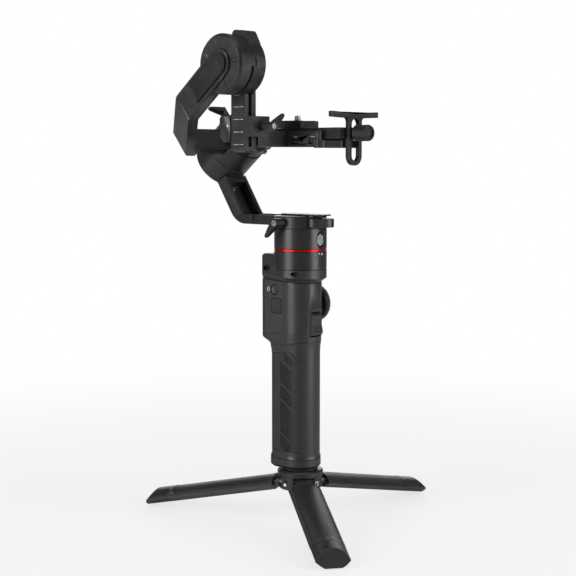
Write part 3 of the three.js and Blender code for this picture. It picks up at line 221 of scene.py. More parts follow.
def coated(name, colour, roughness, grain, depth, metallic=0.0, wear=0.35, specular=0.5):
    """A dark coated surface: fine grain, faint clouding in colour and gloss, and slightly worn edges."""
    shader = Shader(name, roughness, metallic)
    shader.surface.inputs["Specular IOR Level"].default_value = specular
    cloud = shader.noise(70, 4)
    base = shader.ramp(cloud, shade(colour, 0.86), shade(colour, 1.14))
    shader.worn_edges(base, shade(colour, 3.2), wear)
    fine = shader.noise(grain, 2)
    rough = shader.spread(cloud, roughness - 0.04, roughness + 0.04)
    shader.link(rough, shader.surface.inputs["Roughness"])
    shader.bump(fine, depth, 0.5)
    return shader


def finish_coated(name, slot, *args, **kwargs):
    return Finish(coated(name, *args, **kwargs).material, slot)


def finish_brushed(name, slot, colour, roughness, stretch):
    """Bare or anodised metal with fine machining lines."""
    shader = Shader(name, roughness, 1.0)
    lines = shader.noise(900, 3, stretch)
    base = shader.ramp(lines, shade(colour, 0.82), shade(colour, 1.12))
    shader.link(base, shader.surface.inputs["Base Color"])
    rough = shader.spread(lines, roughness - 0.06, roughness + 0.08)
    shader.link(rough, shader.surface.inputs["Roughness"])
    shader.bump(lines, 0.00002, 0.6)
    return Finish(shader.material, slot)


def finish_glass(name, slot):
    shader = Shader(name, 0.06)
    smudge = shader.noise(45, 4)
    base = shader.ramp(smudge, (0.004, 0.004, 0.005), (0.009, 0.009, 0.011))
    shader.link(base, shader.surface.inputs["Base Color"])
    shader.link(shader.spread(smudge, 0.05, 0.12), shader.surface.inputs["Roughness"])
    return Finish(shader.material, slot)


def finish_winding(name, slot):
    shader = Shader(name, 0.35, 0.9)
    wires = shader.node("ShaderNodeTexWave", bands_direction="Z")
    wires.inputs["Scale"].default_value = 900
    shader.link(shader.place, wires.inputs["Vector"])
    base = shader.ramp(wires.outputs["Fac"], (0.2, 0.07, 0.02), (0.62, 0.28, 0.11))
    shader.link(base, shader.surface.inputs["Base Color"])
    shader.bump(wires.outputs["Fac"], 0.0001)
    return Finish(shader.material, slot)


def finish_board(name, slot, low, high):
    shader = Shader(name, 0.45)
    base = shader.ramp(shader.noise(300, 2), low, high)
    shader.link(base, shader.surface.inputs["Base Color"])
    return Finish(shader.material, slot)


def finish_print(name, slot, colour):
    """Pad-printed marks, a little uneven."""
    shader = Shader(name, 0.6)
    base = shader.ramp(shader.noise(2500, 2), shade(colour, 0.85), colour)
    shader.link(base, shader.surface.inputs["Base Color"])
    return Finish(shader.material, slot)


def floor_finish():
    """Pale near the object, so that it takes a soft shadow, and plain white further out."""
    shader = Shader("floor", 0.6)
    base = shader.ramp(shader.noise(3, 2), (0.83, 0.83, 0.83), (0.85, 0.85, 0.85))
    shader.link(base, shader.surface.inputs["Base Color"])
    far = shader.node("ShaderNodeVectorMath", operation="LENGTH")
    shader.link(shader.place, far.inputs[0])
    blend = shader.node("ShaderNodeMapRange", interpolation_type="SMOOTHSTEP")
    blend.inputs["From Min"].default_value = 0.2
    blend.inputs["From Max"].default_value = 1.0
    blend.inputs["To Min"].default_value = 0.72
    shader.link(far.outputs["Value"], blend.inputs["Value"])
    ray = shader.node("ShaderNodeLightPath")
    share = shader.node("ShaderNodeMath", operation="MULTIPLY")
    shader.link(blend.outputs["Result"], share.inputs[0])
    shader.link(ray.outputs["Is Camera Ray"], share.inputs[1])
    white = shader.node("ShaderNodeEmission")
    mix = shader.node("ShaderNodeMixShader")
    shader.link(share.outputs[0], mix.inputs[0])
    shader.link(shader.surface.outputs[0], mix.inputs[1])
    shader.link(white.outputs[0], mix.inputs[2])
    shader.link(mix.outputs[0], shader.tree.nodes["Material Output"].inputs["Surface"])
    return shader.material


CHARCOAL = (0.020, 0.0192, 0.0195)
METAL = finish_coated("anodised_black", "black_metal", CHARCOAL, 0.31, 2600, 0.00003, metallic=0.2)
METAL_PALE = finish_coated(
    "anodised_machined", "black_metal", (0.075, 0.072, 0.072), 0.3, 2600, 0.00003, metallic=0.5
)
PLASTIC = finish_coated("moulded_black", "black_plastic", (0.017, 0.0165, 0.0165), 0.38, 1800, 0.00005)
PANEL = finish_coated("panel_black", "black_plastic", (0.018, 0.0175, 0.0175), 0.46, 1500, 0.00006, wear=0.2)
RUBBER = finish_coated(
    "soft_rubber", "black_rubber", (0.019, 0.0185, 0.0185), 0.58, 1300, 0.00009, wear=0.1, specular=0.35
)
# Painted shade: a near-black colour on the floors of recesses and on the threads inside a bore, where shade
# falls. The small black screws also use it, as their own colour.
RECESS_SHADE_AND_SCREW_BLACK = finish_coated("painted_recess_shade_and_screw_black", "black_plastic", (0.006, 0.006, 0.006), 0.7, 1500, 0.00005, wear=0.0)
RED = finish_brushed("anodised_red", "red_metal", (0.72, 0.018, 0.016), 0.28, (1, 1, 12))
STEEL = finish_brushed("bright_steel", "steel", (0.68, 0.68, 0.69), 0.24, (1, 1, 1))
DARK_STEEL = finish_brushed("dark_steel", "steel", (0.16, 0.16, 0.165), 0.32, (1, 1, 1))
GLASS = finish_glass("screen_glass", "screen")
WINDING = finish_winding("copper_winding", "winding")
BOARD = finish_board("circuit_board", "board", (0.01, 0.09, 0.035), (0.02, 0.2, 0.08))
CELL = finish_board("cell_sleeve", "cell", (0.03, 0.12, 0.34), (0.05, 0.18, 0.48))
MARK = finish_print("white_print", "mark", (0.82, 0.82, 0.82))


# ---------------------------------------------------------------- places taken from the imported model
Span = namedtuple("Span", "x0 x1 y0 y1 z0 z1")


def extent(node, local=None):
    """A CAD node's limits in millimetres, in the frame of a matrix or in the part's own."""
    back = local.inverted() if local else Matrix()
    points = [back @ (v.co / MM) for v in frame["nodes"][node].data.vertices]
    low = [min(p[i] for p in points) for i in range(3)]
    high = [max(p[i] for p in points) for i in range(3)]
    return Span(low[0], high[0], low[1], high[1], low[2], high[2])


# ---------------------------------------------------------------- mesh helpers, in millimetres
def build(name, points, faces):
    mesh = bpy.data.meshes.new(name)
    mesh.from_pydata([tuple(p) for p in points], [], faces)
    work = bmesh.new()
    work.from_mesh(mesh)
    bmesh.ops.remove_doubles(work, verts=work.verts, dist=1e-5)
    bmesh.ops.recalc_face_normals(work, faces=work.faces)
    work.to_mesh(mesh)
    work.free()
    made = bpy.data.objects.new(name, mesh)
    scene.collection.objects.link(made)
    return made


def disc(radius, sides=64):
    rim = [(radius * math.cos(a), radius * math.sin(a), 0) for a in turns(sides)]
    return rim, [list(range(sides))]


def turns(count):
    return [2 * math.pi * i / count for i in range(count)]


def arc(centre, radius, start, end, steps=12):
    """Points on an arc, with angles in degrees."""
    angles = [(start + (end - start) * i / steps) * RAD for i in range(steps + 1)]
    return [(centre[0] + radius * math.cos(a), centre[1] + radius * math.sin(a)) for a in angles]


def circle(radius, centre=(0, 0), sides=SMALL):
    return [(centre[0] + radius * math.cos(a), centre[1] + radius * math.sin(a)) for a in turns(sides)]


def fillet(points, radius, steps=6):
    """The outline with its corners rounded by one radius, or by one radius for each corner."""
    count = len(points)
    radii = radius if isinstance(radius, (list, tuple)) else [radius] * count
    out = []
    for i, wanted in enumerate(radii):
        corner = Vector(points[i])
        to_last = Vector(points[i - 1]) - corner
        to_next = Vector(points[(i + 1) % count]) - corner
        half = to_last.angle(to_next) / 2
        room = 0.48 * min(to_last.length, to_next.length) * math.tan(half)
        r = min(wanted, room)
        if r < 0.05 or half > 0.49 * math.pi:
            out.append(tuple(corner))
            continue
        bisector = (to_last.normalized() + to_next.normalized()).normalized()
        centre = corner + bisector * (r / math.sin(half))
        a = corner + to_last.normalized() * (r / math.tan(half)) - centre
        b = corner + to_next.normalized() * (r / math.tan(half)) - centre
        sweep = a.angle_signed(b)
        for k in range(steps + 1):
            turn = Matrix.Rotation(-sweep * k / steps, 2)
            out.append(tuple(centre + turn @ a))
    return out


def rounded(half_a, half_b, radius, centre=(0, 0), steps=8):
    """A rounded rectangle's outline."""
    a, b = half_a - radius, half_b - radius
    corners = [(a, b, 0), (-a, b, 90), (-a, -b, 180), (a, -b, 270)]
    points = []
    for x, y, start in corners:
        points += arc((centre[0] + x, centre[1] + y), radius, start, start + 90, steps)
    return points


def prism(axis, outline, low, high):
    """An outline extruded along an axis: (y, z) along "x", (x, z) along "y" and (x, y) along "z"."""
    place = {
        "x": lambda a, b, c: (c, a, b),
        "y": lambda a, b, c: (a, c, b),
        "z": lambda a, b, c: (a, b, c),
    }[axis]
    count = len(outline)
    points = [place(a, b, c) for c in (low, high) for a, b in outline]
    faces = [[i, (i + 1) % count, count + (i + 1) % count, count + i] for i in range(count)]
    faces += [list(range(count))[::-1], list(range(count, 2 * count))]
    return build("prism", points, faces)


def block(x0, x1, y0, y1, z0, z1):
    return prism("z", [(x0, y0), (x1, y0), (x1, y1), (x0, y1)], z0, z1)


def rod(axis, radius, low, high, centre=(0, 0), sides=SMALL):
    return prism(axis, circle(radius, centre, sides), low, high)


def turned(profile, sides=FINE):
    """A solid of revolution about Z from (radius, height) points."""
    on_axis = profile[0][0] == 0 and profile[-1][0] == 0
    count = len(profile)
    points = [(r * math.cos(a), r * math.sin(a), z) for a in turns(sides) for r, z in profile]
    steps = range(count - 1) if on_axis else range(count)
    faces = []
    for k in range(sides):
        here, there = k * count, ((k + 1) % sides) * count
        for i in steps:
            j = (i + 1) % count
            corners = [here + i, there + i, there + j, here + j]
            if profile[i][0] == 0:
                corners.remove(there + i)
            if profile[j][0] == 0:
                corners.remove(there + j)
            if len(corners) > 2:
                faces.append(corners)
    return build("turned", points, faces)


def ring(inner, outer, low, high, edge=0.4, sides=FINE):
    profile = [(inner, low), (outer, low), (outer, high), (inner, high)]
    return turned(fillet(profile, edge, 3), sides)


def loft(levels):
    """Rings of points, equal in number, one above another, as one closed solid."""
    count = len(levels[0])
    faces = []
    for k in range(len(levels) - 1):
        for i in range(count):
            a, b = k * count + i, k * count + (i + 1) % count
            faces.append([a, b, b + count, a + count])
    last = (len(levels) - 1) * count
    faces += [list(range(count))[::-1], list(range(last, last + count))]
    return build("loft", [point for level in levels for point in level], faces)


def moved(solid, matrix):
    solid.data.transform(matrix)
    return solid


def shifted(solid, x=0, y=0, z=0):
    return moved(solid, Matrix.Translation((x, y, z)))


def turn_to(solid, axis, degrees):
    return moved(solid, Matrix.Rotation(degrees * RAD, 4, axis))


def laid_along_x(solid):
    return turn_to(solid, "Y", 90)


def settle(solid):
    """Applies a solid's modifiers to its mesh."""
    graph = bpy.context.evaluated_depsgraph_get()
    old = solid.data
    solid.data = bpy.data.meshes.new_from_object(solid.evaluated_get(graph))
    solid.modifiers.clear()
    bpy.data.meshes.remove(old)
    return solid


def combined(base, tools, operation):
    for tool in tools:
        step = base.modifiers.new(operation, "BOOLEAN")
        step.operation = operation
        step.solver = "EXACT"
        step.object = tool
    settle(base)
    for tool in tools:
        bpy.data.meshes.remove(tool.data)
    return base


def cut(base, *tools):
    return combined(base, tools, "DIFFERENCE")


def join(base, *others):
    return combined(base, others, "UNION")


def common(base, other):
    return combined(base, [other], "INTERSECT")


def piece(name, solid, finish, node, stands_for=True, edge=EDGE, segments=2, limit=30):
    """Rounds the edges of a finished solid, scales it to metres, gives it its material and parents it as one
    piece to a CAD node's body.
    """
    if edge:
        rounding = solid.modifiers.new("edge", "BEVEL")
        rounding.width = edge
        rounding.segments = segments
        rounding.limit_method = "ANGLE"
        rounding.angle_limit = limit * RAD
        rounding.use_clamp_overlap = True
        settle(solid)
    solid.data.shade_smooth()
    solid.data.set_sharp_from_angle(angle=(limit + 5) * RAD)
    flattening = solid.modifiers.new("normals", "WEIGHTED_NORMAL")
    flattening.weight = 100
    flattening.keep_sharp = True
    settle(solid)
    solid.data.transform(Matrix.Scale(MM, 4))
    solid.name = name
    solid.data.name = name
    solid.data.materials.clear()
    solid.data.materials.append(finish.material)
    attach(solid, BODY_OF[node])
    if stands_for:
        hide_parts(node)
    return solid


def dress(finish, *nodes):
    """Gives CAD nodes that stay their finish."""
    for name in nodes:
        kept = frame["nodes"][name]
        kept.data.materials.clear()
        kept.data.materials.append(finish.material)


# ---------------------------------------------------------------- small repeated pieces
def screw(name, node, radius, matrix, finish=METAL, height=0.8, socket=0.55):
    """A low round screw head with a hexagon socket, its axis along the matrix's Z."""
    side = [(0, 0), (radius, 0), (radius, height), (0, height)]
    head = turned(fillet(side, [0, 0, 0.35 * height, 0], 4), SMALL)
    hexagon = [(socket * radius * math.cos(a), socket * radius * math.sin(a)) for a in turns(6)]
    head = cut(head, prism("z", hexagon, height * 0.35, height + 1))
    return piece(name, moved(head, matrix), finish, node, stands_for=False, edge=0.08, segments=1)


def facing(direction, place):
    """A matrix whose Z looks along a direction, at a place in millimetres."""
    turn = Vector(direction).to_track_quat("Z", "Y").to_matrix().to_4x4()
    return Matrix.Translation(place) @ turn


def show(node, solid, finish, edge=EDGE, **options):
    """Stands in for a CAD node with a finer solid."""
    return piece(node + "_fine", solid, finish, node, True, edge, **options)


def add(name, node, solid, finish, edge=0.15, **options):
    """Adds a small piece to a CAD node's body."""
    return piece(name, solid, finish, node, False, edge, **options)


def clamp_lever(hub_r, length, wing_length, wing_t):
    """A round hub along Z from 0 to length, with a tapered wing that leaves its top along +X."""
    tip = 1.7
    root = 0.82 * hub_r
    far = wing_length - tip
    outline = [(0, -root), *arc((far, 0), tip, -90, 90, 12), (0, root)]
    outline += arc((0, 0), root, 90, 270, 24)[1:-1]
    wing = prism("z", outline, length - wing_t, length)
    slope = [
        (hub_r, length + 1),
        (wing_length + 1, length + 1),
        (wing_length + 1, length - 1.6),
        (hub_r + 3, length),
    ]
    under = [
        (hub_r + 2, length - wing_t - 1),
        (hub_r + 2, length - wing_t),
        (wing_length + 1, length - wing_t + 1.6),
        (wing_length + 1, length - wing_t - 1),
    ]
    wing = cut(wing, prism("y", slope, -hub_r - 1, hub_r + 1), prism("y", under, -hub_r - 1, hub_r + 1))
    neck = hub_r - 0.7
    hub = turned([(0, 0), (neck, 0), (neck, 1.2), (hub_r, 1.7), (hub_r, length), (0, length)], 64)
    return cut(join(hub, wing), rod("z", hub_r * 0.68, length - 0.7, length + 1))


def lever_set(node, hub_r, length, wing_length, wing_t, place):
    """A clamp lever with the bright screw in its end."""
    show(node, moved(clamp_lever(hub_r, length, wing_length, wing_t), place), METAL, edge=0.5, segments=3)
    end = place @ Matrix.Translation((0, 0, length - 0.7))
    screw(node + "_screw", node, hub_r * 0.62, end, STEEL, height=0.6, socket=0.42)


# ---------------------------------------------------------------- places
hub = extent("tripod_hub")
cap = extent("grip_end_cap")
shell = extent("grip_shell")
rubber = extent("grip_rubber")
housing = extent("handle_housing")
panel = extent("side_panel")
base = extent("collar_base")
upper = extent("collar")
motor = extent("pan_motor_housing")
head = extent("pan_head")
joints = {joint["name"]: joint for joint in frame["record"]["behaviour"]["joints"]}


def pivot(joint):
    return Vector(joints[joint]["pos_m"]) / MM


GRIP_R = rubber.x1
GRIP_BACK = rubber.y1
GRIP_CORNER = 8.5
SIDE = -panel.x0
BACK = housing.y1
CORNER = 4
COLLAR_R = upper.x1
COLLAR_SIDE = 20.5
MOTOR_R = motor.x1
HEAD_Z = motor.z1 + GAP
CENTRE = pivot("tilt").z
GROUND = cad_box[0].z / MM

# The two seams of the upper handle are not level: each rises or falls with distance back.
LOW_SEAM = (housing.z0 - 1.8, -0.1)
HIGH_SEAM = (housing.z1 - 1.7, 0.07)

roll_axis = Vector(joints["roll"]["axis"])
ROLL_TURN = math.atan2(-roll_axis.y, roll_axis.z)
ROLL = Matrix.Translation((0, 0, CENTRE)) @ Matrix.Rotation(ROLL_TURN, 4, "X")


# ---------------------------------------------------------------- tripod
LEG_R = 18.5
LEG_INNER_R = 9
LEG_HALF = 57
LEG_LENGTH = 151
LEG_ROOT = 10.5
LEG_FOOT = 29  # length of the separate foot
TIP_SLANT = 17
PANEL_HALF = 43


def tripod_hub():
    r = hub.x1
    skirt, step = r - 0.6, hub.z1 - 6
    profile = [(0, 0), (r - 2, 0), (skirt, 1.6), (skirt, step), (r, step + 0.6), (r, hub.z1 - 1.4)]
    body = turned(profile + [(r - 1.4, hub.z1), (0, hub.z1)])
    tools = [rod("z", 3.4, hub.z1 - 12, hub.z1 + 1)]
    for leg in (1, 2, 3):
        pin = pivot(f"leg_{leg}_fold")
        reach = math.hypot(pin.x, pin.y)
        turn = math.degrees(math.atan2(pin.y, pin.x))
        tools.append(turn_to(block(8, r + 5, -10.3, 10.3, -1, step), "Z", turn))
        tools.append(turn_to(rod("y", 1.65, -r, r, (reach, pin.z)), "Z", turn))
    show("tripod_hub", cut(body, *tools), METAL, edge=0.3)
    for name, azimuth, height, outline in (
        ("hub_dot", 179, 5.2, [circle(1.6)]),
        ("hub_ring_mark", 270, 6.2, [circle(2.2), circle(1.4)]),
    ):
        a = azimuth * RAD
        out = (math.cos(a), math.sin(a), 0)
        place = facing(out, Vector(out) * (skirt - 0.15) + Vector((0, 0, height)))
        solid = prism("z", outline[0], 0, 0.25)
        if len(outline) > 1:
            solid = cut(solid, prism("z", outline[1], -1, 1), block(-3, 0, -0.5, 0.5, -1, 1))
        add(name, "tripod_hub", moved(solid, place), MARK, edge=0)


def leg_band(outer, inner, half, drop):
    """A curved band of the leg's round back."""
    centre = (0, -drop)
    return arc(centre, outer, 90 - half, 90 + half, 28) + arc(centre, inner, 90 + half, 90 - half, 16)


def leg(number):
    node = f"leg_{number}"
    pin = pivot(node + "_fold")
    reach = math.hypot(pin.x, pin.y)
    edge_z = LEG_INNER_R * math.cos(LEG_HALF * RAD) - reach
    slope = math.asin((pin.z - GROUND + edge_z) / LEG_LENGTH)
    turn = Matrix.Rotation(math.atan2(pin.y, pin.x), 4, "Z") @ Matrix.Rotation(slope, 4, "Y")
    place = Matrix.Translation(pin) @ turn
    flat = LEG_INNER_R * math.sin(LEG_HALF * RAD)
    section = arc((0, -reach), LEG_R, 90 - LEG_HALF, 90 + LEG_HALF, 28) + [(-flat, edge_z), (flat, edge_z)]
    foot_x = LEG_LENGTH - LEG_FOOT
    panel_x = [LEG_ROOT + 4, foot_x - 6]
    beam = prism("x", section, LEG_ROOT, foot_x - 0.15)
    recess = leg_band(LEG_R + 2, LEG_R - 0.7, PANEL_HALF, reach)
    root = block(0, LEG_ROOT + 4, -10, 10, -3.8, 0)
    knuckle = rod("y", 3.8, -10, 10)
    beam = cut(join(cut(beam, prism("x", recess, *panel_x)), root, knuckle), rod("y", 1.8, -30, 30))
    show(node, moved(beam, place), PLASTIC, edge=0.6, segments=3)
    inset = leg_band(LEG_R - 0.25, LEG_R - 0.6, PANEL_HALF - 0.8, reach)
    inlay = prism("x", inset, panel_x[0] + 0.3, panel_x[1] - 0.3)
    add(f"leg_panel_{number}", node, moved(inlay, place), PANEL, edge=0.15)
    crown, low = LEG_R - reach + 1, edge_z
    blunt = LEG_LENGTH - 3.2
    slant = [
        (LEG_LENGTH - TIP_SLANT + 2, crown),
        (LEG_LENGTH + 1, crown),
        (LEG_LENGTH + 1, low - 1),
        (blunt, low - 1),
        (blunt, low + 2.2),
    ]
    foot = cut(prism("x", section, foot_x + 0.15, LEG_LENGTH), prism("y", slant, -LEG_R, LEG_R))
    add(f"leg_foot_{number}", node, moved(foot, place), PLASTIC, edge=0.8, segments=3)


def mounting_pad():
    pad = extent("mounting_pad")
    show("mounting_pad", ring(3.4, pad.x1, pad.z0, pad.z1, 0.3), RUBBER, edge=0)


# ---------------------------------------------------------------- handle
def level(height, r, side, back, corner, tilt=0.0):
    """The handle's outline at a height: round in front, flat behind."""
    points = arc((0, 0), r, 180, 360, 56)
    points += arc((side - corner, back - corner), corner, 0, 90, 10)
    points += arc((corner - side, back - corner), corner, 90, 180, 10)
    return [(x, y, height + tilt * y) for x, y in points]


def grip_level(height, grow=0.0, tilt=0.0):
    r = GRIP_R + grow
    return level(height, r, r, GRIP_BACK + grow, GRIP_CORNER + min(grow, 0), tilt)


def end_cap():
    body = loft([
        level(cap.z0, GRIP_R - 1.4, GRIP_R - 1.4, GRIP_BACK - 1.4, GRIP_CORNER - 1),
        grip_level(cap.z0 + 2.4, 0.8),
        grip_level(cap.z1, 0.8),
    ])
    show("grip_end_cap", cut(body, rod("z", 3.4, cap.z0 - 1, cap.z1 + 1)), PLASTIC, edge=0.45, segments=3)


def grip_band(low, high, proud, depth, front, tilt):
    """The stretch of the grip's surface behind a place, between two heights."""
    face = loft([grip_level(low, proud), grip_level(high, proud, tilt)])
    core = loft([grip_level(low - 2, -depth), grip_level(high + 6, -depth)])
    lead = block(-30, 30, -30, front, low - 3, high + 8)
    corner = [(front - 1, high - 11), (front + 8, high + 1.2), (front + 8, high + 9), (front - 1, high + 9)]
    return cut(face, core, lead, prism("x", corner, -30, 30))


GROOVE_GROUPS = (3, 8, 5, 12, 5)
GROOVE_PITCH = 2.45
GROOVE_W = 1.15
GROOVE_SLOPE = 33


def grooves(top):
    """Slanted grooves down both flanks, in staggered groups."""
    bars = []
    height = top
    for index, count in enumerate(GROOVE_GROUPS):
        ahead = 3.0 if index == 0 else 0.0
        for _ in range(count):
            height -= GROOVE_PITCH
            for side in (-1, 1):
                x0, x1 = sorted((side * (GRIP_R - 2), side * (GRIP_R + 1)))
                outline = rounded(8.2 if index else 6.0, GROOVE_W / 2, 0.45, steps=3)
                bar = turn_to(prism("x", outline, x0, x1), "X", GROOVE_SLOPE)
                bars.append(shifted(bar, 0, 1.6 - ahead, height))
        height -= 1.0 * GROOVE_PITCH
    return cut(merged(bars), loft([grip_level(0, -0.9), grip_level(top + 20, -0.9)]))


def merged(solids):
    """Separate solids in one mesh."""
    work = bmesh.new()
    for solid in solids:
        work.from_mesh(solid.data)
        bpy.data.meshes.remove(solid.data)
    mesh = bpy.data.meshes.new("merged")
    work.to_mesh(mesh)
    work.free()
    made = bpy.data.objects.new("merged", mesh)
    scene.collection.objects.link(made)
    return made


def grip():
    seam, tilt = LOW_SEAM
    body = loft([
        grip_level(shell.z0, 0.8),
        grip_level(shell.z0 + 1.5, 0.75),
        grip_level(shell.z0 + 4, 0),
        grip_level(seam - 11, 0, tilt),
        grip_level(seam - 5, 0.3, tilt),
        grip_level(seam - GAP, 1, tilt),
    ])
    inner = loft([
        level(shell.z0 - 1, GRIP_R - 3, GRIP_R - 3, GRIP_BACK - 2.4, 6),
        level(seam + 9, GRIP_R - 3, GRIP_R - 3, GRIP_BACK - 2.4, 6),
    ])
    low, high = rubber.z0, seam - 8.4
    seat = grip_band(low - GAP, high + GAP, 2, 1.3, -12.12, tilt)
    show("grip_shell", cut(body, inner, seat), PLASTIC, edge=0.25)
    cover = grip_band(low, high, 0, 1.0, -12, tilt)
    cover = cut(cover, grooves(high - 2))
    show("grip_rubber", cover, RUBBER, edge=0.2)


def flare(share):
    """The upper handle's bottom, where it grows from the grip: share runs from 0 to 1."""
    ease = share * share * (3 - 2 * share)
    seam, tilt = LOW_SEAM
    r = GRIP_R + 1 + (SIDE - GRIP_R - 1) * ease
    back = GRIP_BACK + 0.8 + (BACK - GRIP_BACK - 0.8) * ease
    corner = GRIP_CORNER + (CORNER - GRIP_CORNER) * ease
    return level(seam + 9.5 * share, r, r, back, corner, tilt - 0.03 * share)


PANEL_FRONT = panel.y0
PANEL_REAR = panel.y1


def panel_edge(y, low):
    """The side panel's lower or upper edge."""
    if low:
        return LOW_SEAM[0] + 11 + (LOW_SEAM[1] - 0.03) * y
    return HIGH_SEAM[0] - 1.2 + HIGH_SEAM[1] * y


def panel_outline(grow):
    front, rear = PANEL_FRONT - grow / 2, PANEL_REAR + grow
    corners = [
        (front, panel_edge(front, True) - grow),
        (rear, panel_edge(rear, True) - grow),
        (rear, panel_edge(rear, False) + grow),
        (front, panel_edge(front, False) + grow),
    ]
    return fillet(corners, 0.8 + grow, 4)


BROW_REACH = 0.9
COVER_GAP = 0.55


def upper_handle():
    button = extent("power_button")
    cover = extent("port_cover")
    trigger = extent("trigger")
    screen = extent("display_screen")
    stick = extent("joystick")
    wheel = extent("focus_wheel")
    seam, tilt = HIGH_SEAM
    levels = [flare(k / 8) for k in range(9)]
    levels.append(level(seam - 0.8, SIDE, SIDE, BACK, CORNER, tilt))
    levels.append(level(seam - GAP / 2, SIDE - 0.5, SIDE - 0.5, BACK - 0.5, CORNER, tilt))
    body = loft(levels)
    wall = SIDE - 4
    inner = loft([
        level(housing.z0 - 8, wall, wall, GRIP_BACK - 4, CORNER),
        level(housing.z0 + 9, wall, wall, GRIP_BACK - 4, CORNER),
        level(housing.z0 + 12, wall, wall, BACK - 4, CORNER),
        level(housing.z1 + 8, wall, wall, BACK - 4, CORNER),
    ])
    button_y, button_z = (button.y0 + button.y1) / 2, (button.z0 + button.z1) / 2
    cover_y, cover_z = (cover.y0 + cover.y1) / 2, (cover.z0 + cover.z1) / 2
    wheel_y, wheel_z = (wheel.y0 + wheel.y1) / 2, (wheel.z0 + wheel.z1) / 2
    half = trigger.x1 + GAP
    top = trigger.z1 + 0.9
    bottom = trigger.z0 - 1.5
    proud = -SIDE - BROW_REACH
    brow = [(1 - SIDE, top), (1 - SIDE, top + 7), (proud, top + 2.2), (proud, top)]
    brow = fillet(brow, [0, 0, 1.4, 0.4])
    body = join(body, prism("x", brow, -trigger.x1, trigger.x1))
    floor = -panel.x0 - 1.6
    screen_z = (screen.z0 + screen.z1) / 2
    stick_z = (stick.z0 + stick.z1) / 2
    screen_hole = rounded(screen.x1 + GAP, screen.z1 - screen_z + GAP, 2.5, (0, screen_z))
    body = cut(
        body,
        inner,
        prism("y", rounded(half, (top - bottom) / 2, 1.2, (0, (top + bottom) / 2)), -30, -8),
        prism("x", panel_outline(GAP), -SIDE - 1, -floor),
        rod("x", button.z1 - button_z + GAP, -SIDE - 1, -wall - 0.8, (button_y, button_z), FINE),
        prism("x", rounded(5, 2.2, 1.5, (cover_y, cover_z)), -SIDE - 1, -wall + 1),
        rod("x", 4.3, wall - 1, SIDE + 1, (wheel_y, wheel_z)),
        prism("y", screen_hole, screen.y0 - GAP, BACK + 1),
        rod("y", stick.x1 + 1.6, BACK - 1.4, BACK + 1, (0, stick_z), 64),
        rod("y", 2.5, BACK - 5, BACK + 1, (0, stick_z)),
    )
    show("handle_housing", body, PLASTIC, edge=0.3)

    plate = prism("x", panel_outline(0), -SIDE, 1.3 - SIDE)
    hole = rod("x", button.z1 - button_z + GAP, -SIDE - 1, 5 - SIDE, (button_y, button_z), FINE)
    cover_w, cover_h = (cover.y1 - cover.y0) / 2, (cover.z1 - cover.z0) / 2
    port = rounded(cover_w + COVER_GAP, cover_h + COVER_GAP, 2.3, (cover_y, cover_z))
    port = prism("x", port, -SIDE - 1, 5 - SIDE)
    show("side_panel", cut(plate, hole, port), PANEL, edge=0.25)

    r = button.z1 - button_z
    dish = turned([(0, 0), (r, 0), (r, 1.7), (r - 0.7, 2.2), (r - 1.3, 2.1), (0, 1.35)], FINE)
    place = facing((-1, 0, 0), (-SIDE + 2.4, button_y, button_z))
    show("power_button", moved(dish, place), PLASTIC, edge=0)
    power_sign(button_y + 8.0, button_z)

    lid = prism("x", rounded(cover_w, cover_h, 1.8, (cover_y, cover_z)), cover.x0, cover.x1)
    nick = prism("x", rounded(3, 0.5, 0.45, (cover_y, cover_z - 4.4)), cover.x0 - 1, cover.x0 + 0.35)
    show("port_cover", cut(lid, nick), RUBBER, edge=0.35)

    glass = prism("y", rounded(screen.x1, screen.z1 - screen_z, 2.2, (0, screen_z)), screen.y0, screen.y1)
    show("display_screen", glass, GLASS, edge=0.2)

    r = stick.x1
    top_y = stick.y1 - stick.y0
    profile = [(0, 0), (2.2, 0), (2.2, top_y - 2.3), (r, top_y - 2.2)]
    profile += [(r, top_y - 0.5), (r - 1.2, top_y), (0, top_y - 0.5)]
    place = facing((0, 1, 0), (0, stick.y0, stick_z))
    show("joystick", moved(turned(profile, 64), place), RUBBER, edge=0.25)


def power_sign(y, z):
    """A plain power sign: a broken ring and a bar."""
    place = facing((-1, 0, 0), (-SIDE + 0.05, y, z))
    band = cut(
        prism("z", circle(1.7), 0, 0.12),
        prism("z", circle(1.25), -1, 1),
        block(-0.55, 0.55, 0, 3, -1, 1),
    )
    add("power_sign_ring", "side_panel", moved(band, place), MARK, edge=0)
    bar = prism("z", rounded(0.22, 0.9, 0.2, (0, 1.4)), 0, 0.12)
    add("power_sign_bar", "side_panel", moved(bar, place), MARK, edge=0)


def trigger_lever():
    span = extent("trigger")
    face = span.y0
    outline = fillet(
        [
            (span.y1, span.z0),
            (face + 1.4, span.z0),
            (face, span.z0 + 3),
            (face + 1.7, span.z0 + 10.5),
            (face + 0.8, span.z1 - 2.6),
            (face + 3.2, span.z1),
            (span.y1, span.z1),
        ],
        [0.2, 0.6, 2.5, 9, 1.8, 1.0, 0.2],
    )
    body = prism("x", outline, span.x0, span.x1)
    ribs = []
    for k in range(5):
        rib = block(span.x0 + 2, span.x1 - 2, face - 1, face + 0.5, -0.28, 0.28)
        ribs.append(shifted(rib, 0, 0.35 * k, span.z0 + 3.2 + 1.25 * k))
    show("trigger", cut(body, *ribs), PLASTIC, edge=0.45, segments=3)


def toothed(radius, depth, count, centre=(0, 0)):
    """A round outline with flat-topped teeth."""
    points = []
    for k in range(count):
        for share, r in ((0.0, radius), (0.42, radius), (0.58, radius - depth), (0.84, radius - depth)):
            a = 2 * math.pi * (k + share) / count
            points.append((centre[0] + r * math.cos(a), centre[1] + r * math.sin(a)))
    return points


